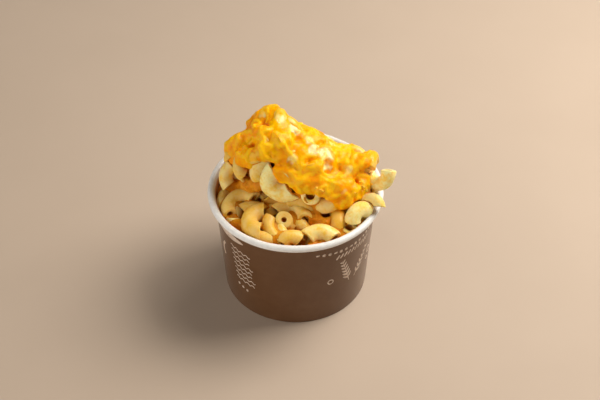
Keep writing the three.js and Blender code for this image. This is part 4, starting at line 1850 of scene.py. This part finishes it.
@dataclass
class Cheddar:
    """Cheddar melted over the crown, thick in some places and broken in others."""

    pile: Pile
    step: float = 0.55
    blend: float = 1.35
    base: float = 0.6  # how thick it mostly lies
    core_inset: float = 6.5  # how deep its solid core lies under the outline
    near: float = 9.0  # how far outside the crown an elbow still carries it
    mouth: float = 18.0  # degrees of a leading elbow's bore that stay open
    lowest: float = 61.5
    # where it has run on past its edge, or pasta stands bare: middle, radius and millimetres
    patches: tuple = (
        ((-31, 8.5, 81), 7, 2.4), ((-28, -1, 79), 6, 2.0), ((-30, 10, 84), 6, 1.2),
        ((39.4, 4.4, 77), 6.5, 4.4), ((25.6, 9.8, 79), 5.6, 4.4),
        ((-14, -9.4, 79.6), 4.2, -3), ((38, -7.4, 70), 4, 1.8),
        ((26, -14, 66), 5, 3.8), ((22.7, -16, 65.5), 5, 3.8), ((33.4, -9, 68), 5, 3),
        ((31, -17, 64), 5, -3), ((-14, 14, 101), 8, -1.8), ((-27, 12, 95), 5, -2.4),
        ((0.3, -14, 76), 6, 2.6), ((3.8, -15.4, 73.3), 5, 2.2), ((15, -16, 72.4), 6, 2.6),
        ((24.7, -15, 69.7), 6, 2.2),
        ((-13.7, -9.4, 73), 6.5, -4), ((-8, -10.4, 69), 7, -3.6), ((-19, -7.6, 79), 4.5, -2.6),
        ((7.7, -17, 69.5), 5.2, -4), ((12.8, -17, 65), 5, -3), ((46, -3.6, 72), 8.5, -3),
    )
    # where it lies thin over pasta that shows pale, painted pale as a highlight too: middle and
    # radius
    windows: tuple = (
        ((15.4, -2.8, 85.3), 4.2), ((16.4, -8.9, 81.5), 2.8), ((9.2, -2.5, 88.3), 3.1),
        ((6.7, 2.7, 89.8), 2.7), ((17.8, 4.9, 84.6), 2.4), ((-1.4, -7.3, 86.3), 2.8),
        ((-0.2, 7, 94.6), 3.5), ((-7.1, 8.2, 100), 2.5), ((-17.5, 6.6, 99.4), 2.7),
        ((26.2, -6.9, 79), 2.7), ((23.1, -14.8, 72.7), 2.6),
    )
    runs: tuple = (
        Run((-5.2, -8.4, 79.7), (2.3, -14.3, 73.6), 3),
        Run((11.2, -14, 74.7), (18.7, -16, 70), 3),
        Run((21, -14.5, 72.4), (24, -15.3, 63.7), 2.8),
        Run((28.2, -12, 71), (33, -9.4, 66.5), 2.2),
        Run((-27.7, -1.3, 80), (-22, -4.8, 80.4), 2.2),
        Run((-32.5, 7.5, 81), (-31, 4.4, 76), 2.6),
        Run((-31, 9, 82), (-24, 8, 85), 3.2),
        Run((-9.2, -8.8, 80.2), (-6.6, -9.8, 76), 2.6),
        Run((3.8, -14.2, 74.2), (11.7, -14.4, 73), 2.6),
        Run((33.9, -7.4, 70), (36, -8, 63.8), 2),
        Run((-18.5, 3.6, 95.5), (-15, 3.1, 96.6), 2.2),
        Run((29.5, -1, 74.5), (34, -4, 70), 3.4),
        Run((26, 6, 76), (33, 4, 73), 3),
        Run((28.8, -12.7, 66.7), (35.1, -7.9, 61.6), 2.3),
    )
    cap: float = 1.5  # how far it may stand above the heap's outline
    # where it lies lower, behind the peak and on the left shoulder: middle, radius and depth
    dips: tuple = (((-1, 18, 93.5), 7, 3.6), ((-25, 18, 91), 5, 2.2))
    shreds: int = 110
    shred_radius: tuple[float, float] = (0.7, 1.35)
    seed: int = 58

    def bareness(self, points: np.ndarray) -> np.ndarray:
        """Work out how far points lie in a place where the cheddar is thin.

        Args:
            points: Rows of x, y and z.

        Returns:
            Shares from 0 to about 1, with ragged edges.
        """
        share = np.zeros(len(points), np.float32)
        for middle, radius in self.windows:
            share = np.maximum(share, nearness(points, middle, radius))
        return share * np.clip(1.1 + 0.6 * Ripple(4.2, 36).at(points), 0, 1.3)

    def thickness(self, points: np.ndarray) -> np.ndarray:
        """Work out how thick the cheddar lies over points.

        Args:
            points: Rows of x, y and z.

        Returns:
            Millimetres, negative where the pasta stands bare.
        """
        heap = self.pile.heap
        thick = self.base + 0.7 * Ripple(15.0, 31).at(points)
        thick += 0.4 * Ripple(6.0, 32).at(points) + 0.3 * Ripple(2.8, 35).at(points)
        for middle, radius, amount in self.patches:
            thick += amount * nearness(points, middle, radius)
        thick -= 0.6 * self.bareness(points)
        return thick - 3.4 * ease(-heap.feather, 2.0, heap.past_cheddar(points))

    def with_shreds(self, grid: Grid, body: np.ndarray,
                    skin: Shell) -> tuple[np.ndarray, np.ndarray]:
        """Lay half-melted shreds along the cheddar, each running down from where it starts.

        Args:
            grid: The block that the cheddar is worked out on.
            body: Its field without shreds.
            skin: Its skin without shreds.

        Returns:
            The field with shreds, and how far each point of the block lies from one.
        """
        draw = np.random.default_rng(self.seed)
        tree = skin.tree()
        near = np.full(grid.shape, 9.0)
        firm = np.flatnonzero((self.thickness(skin.points) > -0.3) & (skin.points[:, 2] > 65)
                              & (self.pile.heap.in_crown(skin.points) < 5))
        for start in draw.choice(firm, self.shreds):
            at = skin.points[start]
            way = unit(draw.normal(size=3) + np.array([0, 0, -0.7]))
            line = []
            for _ in range(draw.integers(7, 17)):
                found, normal = tree.find_nearest(Vector(at + way))[:2]
                moved = np.array(found)
                way = unit(moved - at + 0.22 * draw.normal(size=3))
                at = moved
                line.append(at - 0.3 * np.array(normal))
            line = np.array(line)
            radius = draw.uniform(*self.shred_radius)
            taper = radius * (0.55 + 0.45 * np.sin(np.linspace(0.25, 2.9, len(line))))
            block = tuple(slice(*np.searchsorted(axis, (low - 3, high + 3)))
                          for axis, low, high in zip(grid.axes, line.min(0), line.max(0)))
            spots = np.stack(np.meshgrid(*(axis[part] for axis, part in zip(grid.axes, block)),
                                         indexing="ij"), -1)
            apart = np.linalg.norm(spots[..., None, :] - line, axis=-1)
            shred = (apart - taper).min(-1)
            body[block] = blended(body[block], shred, 0.3)
            near[block] = np.minimum(near[block], shred)
        return body, near

    def build(self, effects: Effects) -> Shell:
        """Make the cheddar and place it.

        Args:
            effects: The shared node groups.

        Returns:
            Its skin.
        """
        heap = self.pile.heap
        grid = Grid((-44, -30, 60), (50, 40, 108), self.step)
        for elbow in self.pile.elbows:
            if heap.in_crown(np.array([elbow.at]))[0] > -self.near:
                mouth = self.mouth if elbow.fixed and not elbow.free else 0.0
                grid.melt(elbow, 0.0, self.blend, mouth)
        points = grid.points()
        thick = self.thickness(points)
        depth = heap.in_crown(points)
        core = (self.core_inset - depth) * CORE_SLOPE
        total = (grid.total.ravel() + np.exp(np.clip(-core / self.blend, -30, 8))) \
            * np.exp(thick / self.blend)
        body = -self.blend * np.log(np.maximum(total, 1e-12))
        lumps = 0.2 * Ripple(3.1, 33).at(points) + 0.35 * Ripple(6.0, 34).at(points)
        body += lumps * ease(-0.5, 0.8, thick)
        body = np.maximum(body, -(grid.bores.ravel() - 0.2) - 2.2 * np.maximum(thick + 0.4, 0))
        body = np.maximum(body, -2.2 - thick)
        slack = self.cap + 0.8 * Ripple(5.0, 38).at(points) + 6 * ease(27, 31, abs(points[:, 0]))
        for middle, radius, down in self.dips:
            slack -= down * nearness(points, middle, radius)
        body = -blended(-body, depth + slack, 0.8)
        for run in self.runs:
            body = blended(body, run.skin(points), 0.9)
        body = np.maximum(body, depth - self.core_inset - 2.5)
        body = np.maximum(body, self.lowest - points[:, 2])
        body = body.reshape(grid.shape)
        for axis in range(3):
            edge = [slice(None)] * 3
            for side in (0, -1):
                edge[axis] = side
                body[tuple(edge)] = 5.0
        body, near = self.with_shreds(grid, body, grid.mesh(body))
        shell = grid.mesh(body).relaxed()
        cell = np.round((shell.points - grid.low) / grid.step).astype(int)
        shell.values["shred"] = ease(0.9, 0.0, near[tuple(cell.T)])
        # Painted shade for the fold colour: deeper under the crown's outline, and towards the
        # left flank, away from the key light.
        left = ease(4.0, -26.0, shell.points[:, 0])
        left = left * (0.6 + 0.6 * Ripple(9.0, 37).at(shell.points))
        shell.values["deep"] = ease(2.0, 9.0, heap.in_crown(shell.points)) + 0.45 * left
        # Partly painted highlight: the thin places that the finish paints pale.
        shell.values["thin"] = self.bareness(shell.points)
        melt = CheddarFinish("melted_cheddar", roughness=0.36, coat=0.05, coat_roughness=0.15,
                             specular=0.12,
                             subsurface=0.45, subsurface_reach=2.2,
                             subsurface_radius=(1.0, 0.5, 0.06))
        place(shell.object("cheddar_blanket", melt.build(effects)),
              ["melted_cheddar"])
        return shell


@dataclass
class Crumbs:
    """Toasted cheddar crumbs, scattered on the front of the heap."""

    skins: list[Shell]  # what they may lie on
    groups: tuple = (  # middle, spread and how many
        ((33.5, -9.5, 69), 2.6, 12), ((10.7, -16, 74), 2.2, 5),
    )
    sizes: tuple[float, float] = (0.45, 0.85)
    seed: int = 12

    def crumb(self, draw: np.random.Generator) -> Shell:
        """Make one crumb about its own middle.

        Args:
            draw: The random numbers.

        Returns:
            An uneven lump.
        """
        grid = Grid((-1.6,) * 3, (1.7,) * 3, 0.4)
        points = grid.points()
        far = np.linalg.norm(points / draw.uniform(0.75, 1.2, 3), axis=1)
        body = far - 1 + 0.22 * Ripple(2.0, int(draw.integers(1000))).at(points)
        shell = grid.mesh(body.reshape(grid.shape), 8)
        shell.points = shell.points * draw.uniform(*self.sizes)
        return shell

    def build(self, effects: Effects) -> None:
        """Drop each crumb onto the first thing under it and place them all.

        Args:
            effects: The shared node groups.
        """
        draw = np.random.default_rng(self.seed)
        trees = [skin.tree() for skin in self.skins]
        made = []
        for middle, spread, count in self.groups:
            for _ in range(count):
                aim = np.array(middle) + spread * draw.normal(size=3) * (1, 0.6, 0.6)
                start = Vector(aim - FROM_FRONT * 60)
                hits = [tree.ray_cast(start, Vector(FROM_FRONT)) for tree in trees]
                hits = [hit for hit in hits if hit[0] is not None]
                if hits:
                    place_at = min(hits, key=lambda hit: hit[3])[0]
                    shell = self.crumb(draw)
                    shell.points = shell.points + np.array(place_at)
                    made.append(shell)
        finish = TwoTone("toasted_crumbs", roughness=0.55, specular=0.2, subsurface=0.3,
                         subsurface_reach=0.8, light=paint(255, 196, 60),
                         dark=paint(244, 158, 32), balance=0.55,
                         relief=Relief(900.0, 2600.0, 0.4, 0.1))
        place(Shell.joined(made).object("cheese_crumbs", finish.build(effects)))


# ---------------------------------------------------------------- the studio


@dataclass
class Lamp:
    """A square soft light, aimed at the tub."""

    name: str
    turn: float  # degrees from +X, seen from above
    lift: float  # degrees above the table
    far: float  # metres
    size: float  # metres
    power: float  # watts
    colour: Triple = (1.0, 1.0, 1.0)

    def build(self, target: Vector) -> None:
        """Hang the light.

        Args:
            target: What it is aimed at.
        """
        light = bpy.data.lights.new(self.name, "AREA")
        light.shape = "SQUARE"
        light.size = self.size
        light.energy = self.power
        light.color = self.colour
        lamp = bpy.data.objects.new(self.name, light)
        turn, lift = math.radians(self.turn), math.radians(self.lift)
        way = Vector((math.cos(turn) * math.cos(lift), math.sin(turn) * math.cos(lift),
                      math.sin(lift)))
        lamp.location = target + way * self.far
        lamp.rotation_mode = "QUATERNION"
        lamp.rotation_quaternion = (-way).to_track_quat("-Z", "Y")
        bpy.context.scene.collection.objects.link(lamp)


@dataclass
class Studio:
    """The floor, the lights and the camera."""

    camera_lift: float = 42.95  # degrees above the table
    camera_far: float = 729.0
    camera_side: float = 2.27  # both camera and target stand this far right of the axis
    target_height: float = 52.18
    lens: float = 85.1
    sensor: float = 36.0  # wide
    near_clip: float = 0.01  # metres
    sky: Colour = paint(236, 228, 220)
    sky_strength: float = 0.05
    lamp_target: float = 0.05  # metres over the table
    floor_half: float = 6.0  # metres
    lamps: tuple = (
        Lamp("key_light", 35, 50, 0.95, 0.8, 5.4, (1.0, 0.99, 0.97)),
        Lamp("near_light", 20, 48, 0.62, 0.36, 3.6, (1.0, 0.99, 0.97)),
        Lamp("left_fill", 185, 20, 1.2, 0.9, 4.3, (1.0, 0.99, 0.98)),
        Lamp("low_fill", 230, 15, 1.2, 0.9, 5.4, (1.0, 0.99, 0.98)),
        Lamp("front_fill", 275, 15, 1.2, 0.9, 1.75, (1.0, 0.99, 0.98)),
    )

    def build(self, effects: Effects) -> None:
        """Set the stage up.

        Args:
            effects: The shared node groups.
        """
        axis = Vector(tub_axis() * MM)
        target = axis + Vector((self.camera_side, 0, self.target_height)) * MM
        lift = math.radians(self.camera_lift)
        back = Vector((0, -math.cos(lift), math.sin(lift)))
        data = bpy.data.cameras.new("camera")
        data.lens = self.lens
        data.sensor_width = self.sensor
        data.clip_start = self.near_clip
        camera = bpy.data.objects.new("camera", data)
        camera.location = target + back * self.camera_far * MM
        camera.rotation_mode = "QUATERNION"
        camera.rotation_quaternion = (-back).to_track_quat("-Z", "Y")
        bpy.context.scene.collection.objects.link(camera)
        bpy.context.scene.camera = camera
        for lamp in self.lamps:
            lamp.build(axis + Vector((0, 0, self.lamp_target)))
        world = bpy.data.worlds.new("studio")
        world.use_nodes = True
        sky = world.node_tree.nodes["Background"]
        sky.inputs["Color"].default_value = self.sky
        sky.inputs["Strength"].default_value = self.sky_strength
        bpy.context.scene.world = world
        bpy.context.scene.view_settings.view_transform = "Standard"
        self.floor(effects)

    def floor(self, effects: Effects) -> None:
        """Lay the floor.

        Args:
            effects: The shared node groups.
        """
        count = 25
        line = np.linspace(-self.floor_half, self.floor_half, count) / MM
        x, y = np.meshgrid(line, line, indexing="ij")
        points = np.stack([x, y, 0 * x], -1).reshape(-1, 3)
        number = np.arange(count * count).reshape(count, count)
        faces = np.stack([number[:-1, :-1], number[1:, :-1], number[1:, 1:],
                          number[:-1, 1:]], -1).reshape(-1, 4)
        finish = TwoTone("pale_floor", roughness=0.7, specular=0.2,
                         light=paint(194, 172, 150), dark=paint(189, 167, 145), scale=6.0,
                         softness=0.3)
        floor = Shell(points, faces).object("floor", finish.build(effects))


def main() -> None:
    """Build every piece in order and log how many elbows there are."""
    logging.basicConfig(level=logging.INFO, format="%(message)s")
    effects = Effects()
    tub = Tub()
    studio = Studio()
    studio.build(effects)
    tub.build(effects)
    Print(tub).build(effects)
    heap = Heap(tub)
    pile = Pile(heap)
    pile.fill()
    pile.settle()
    log.info("elbows: %d", len(pile.elbows))
    cheddar = Cheddar(pile)
    elbows = pile.build(effects, cheddar.thickness)
    Sauce(pile).build(effects)
    blanket = cheddar.build(effects)
    Crumbs([elbows, blanket]).build(effects)


if __name__ == "__main__":
    main()
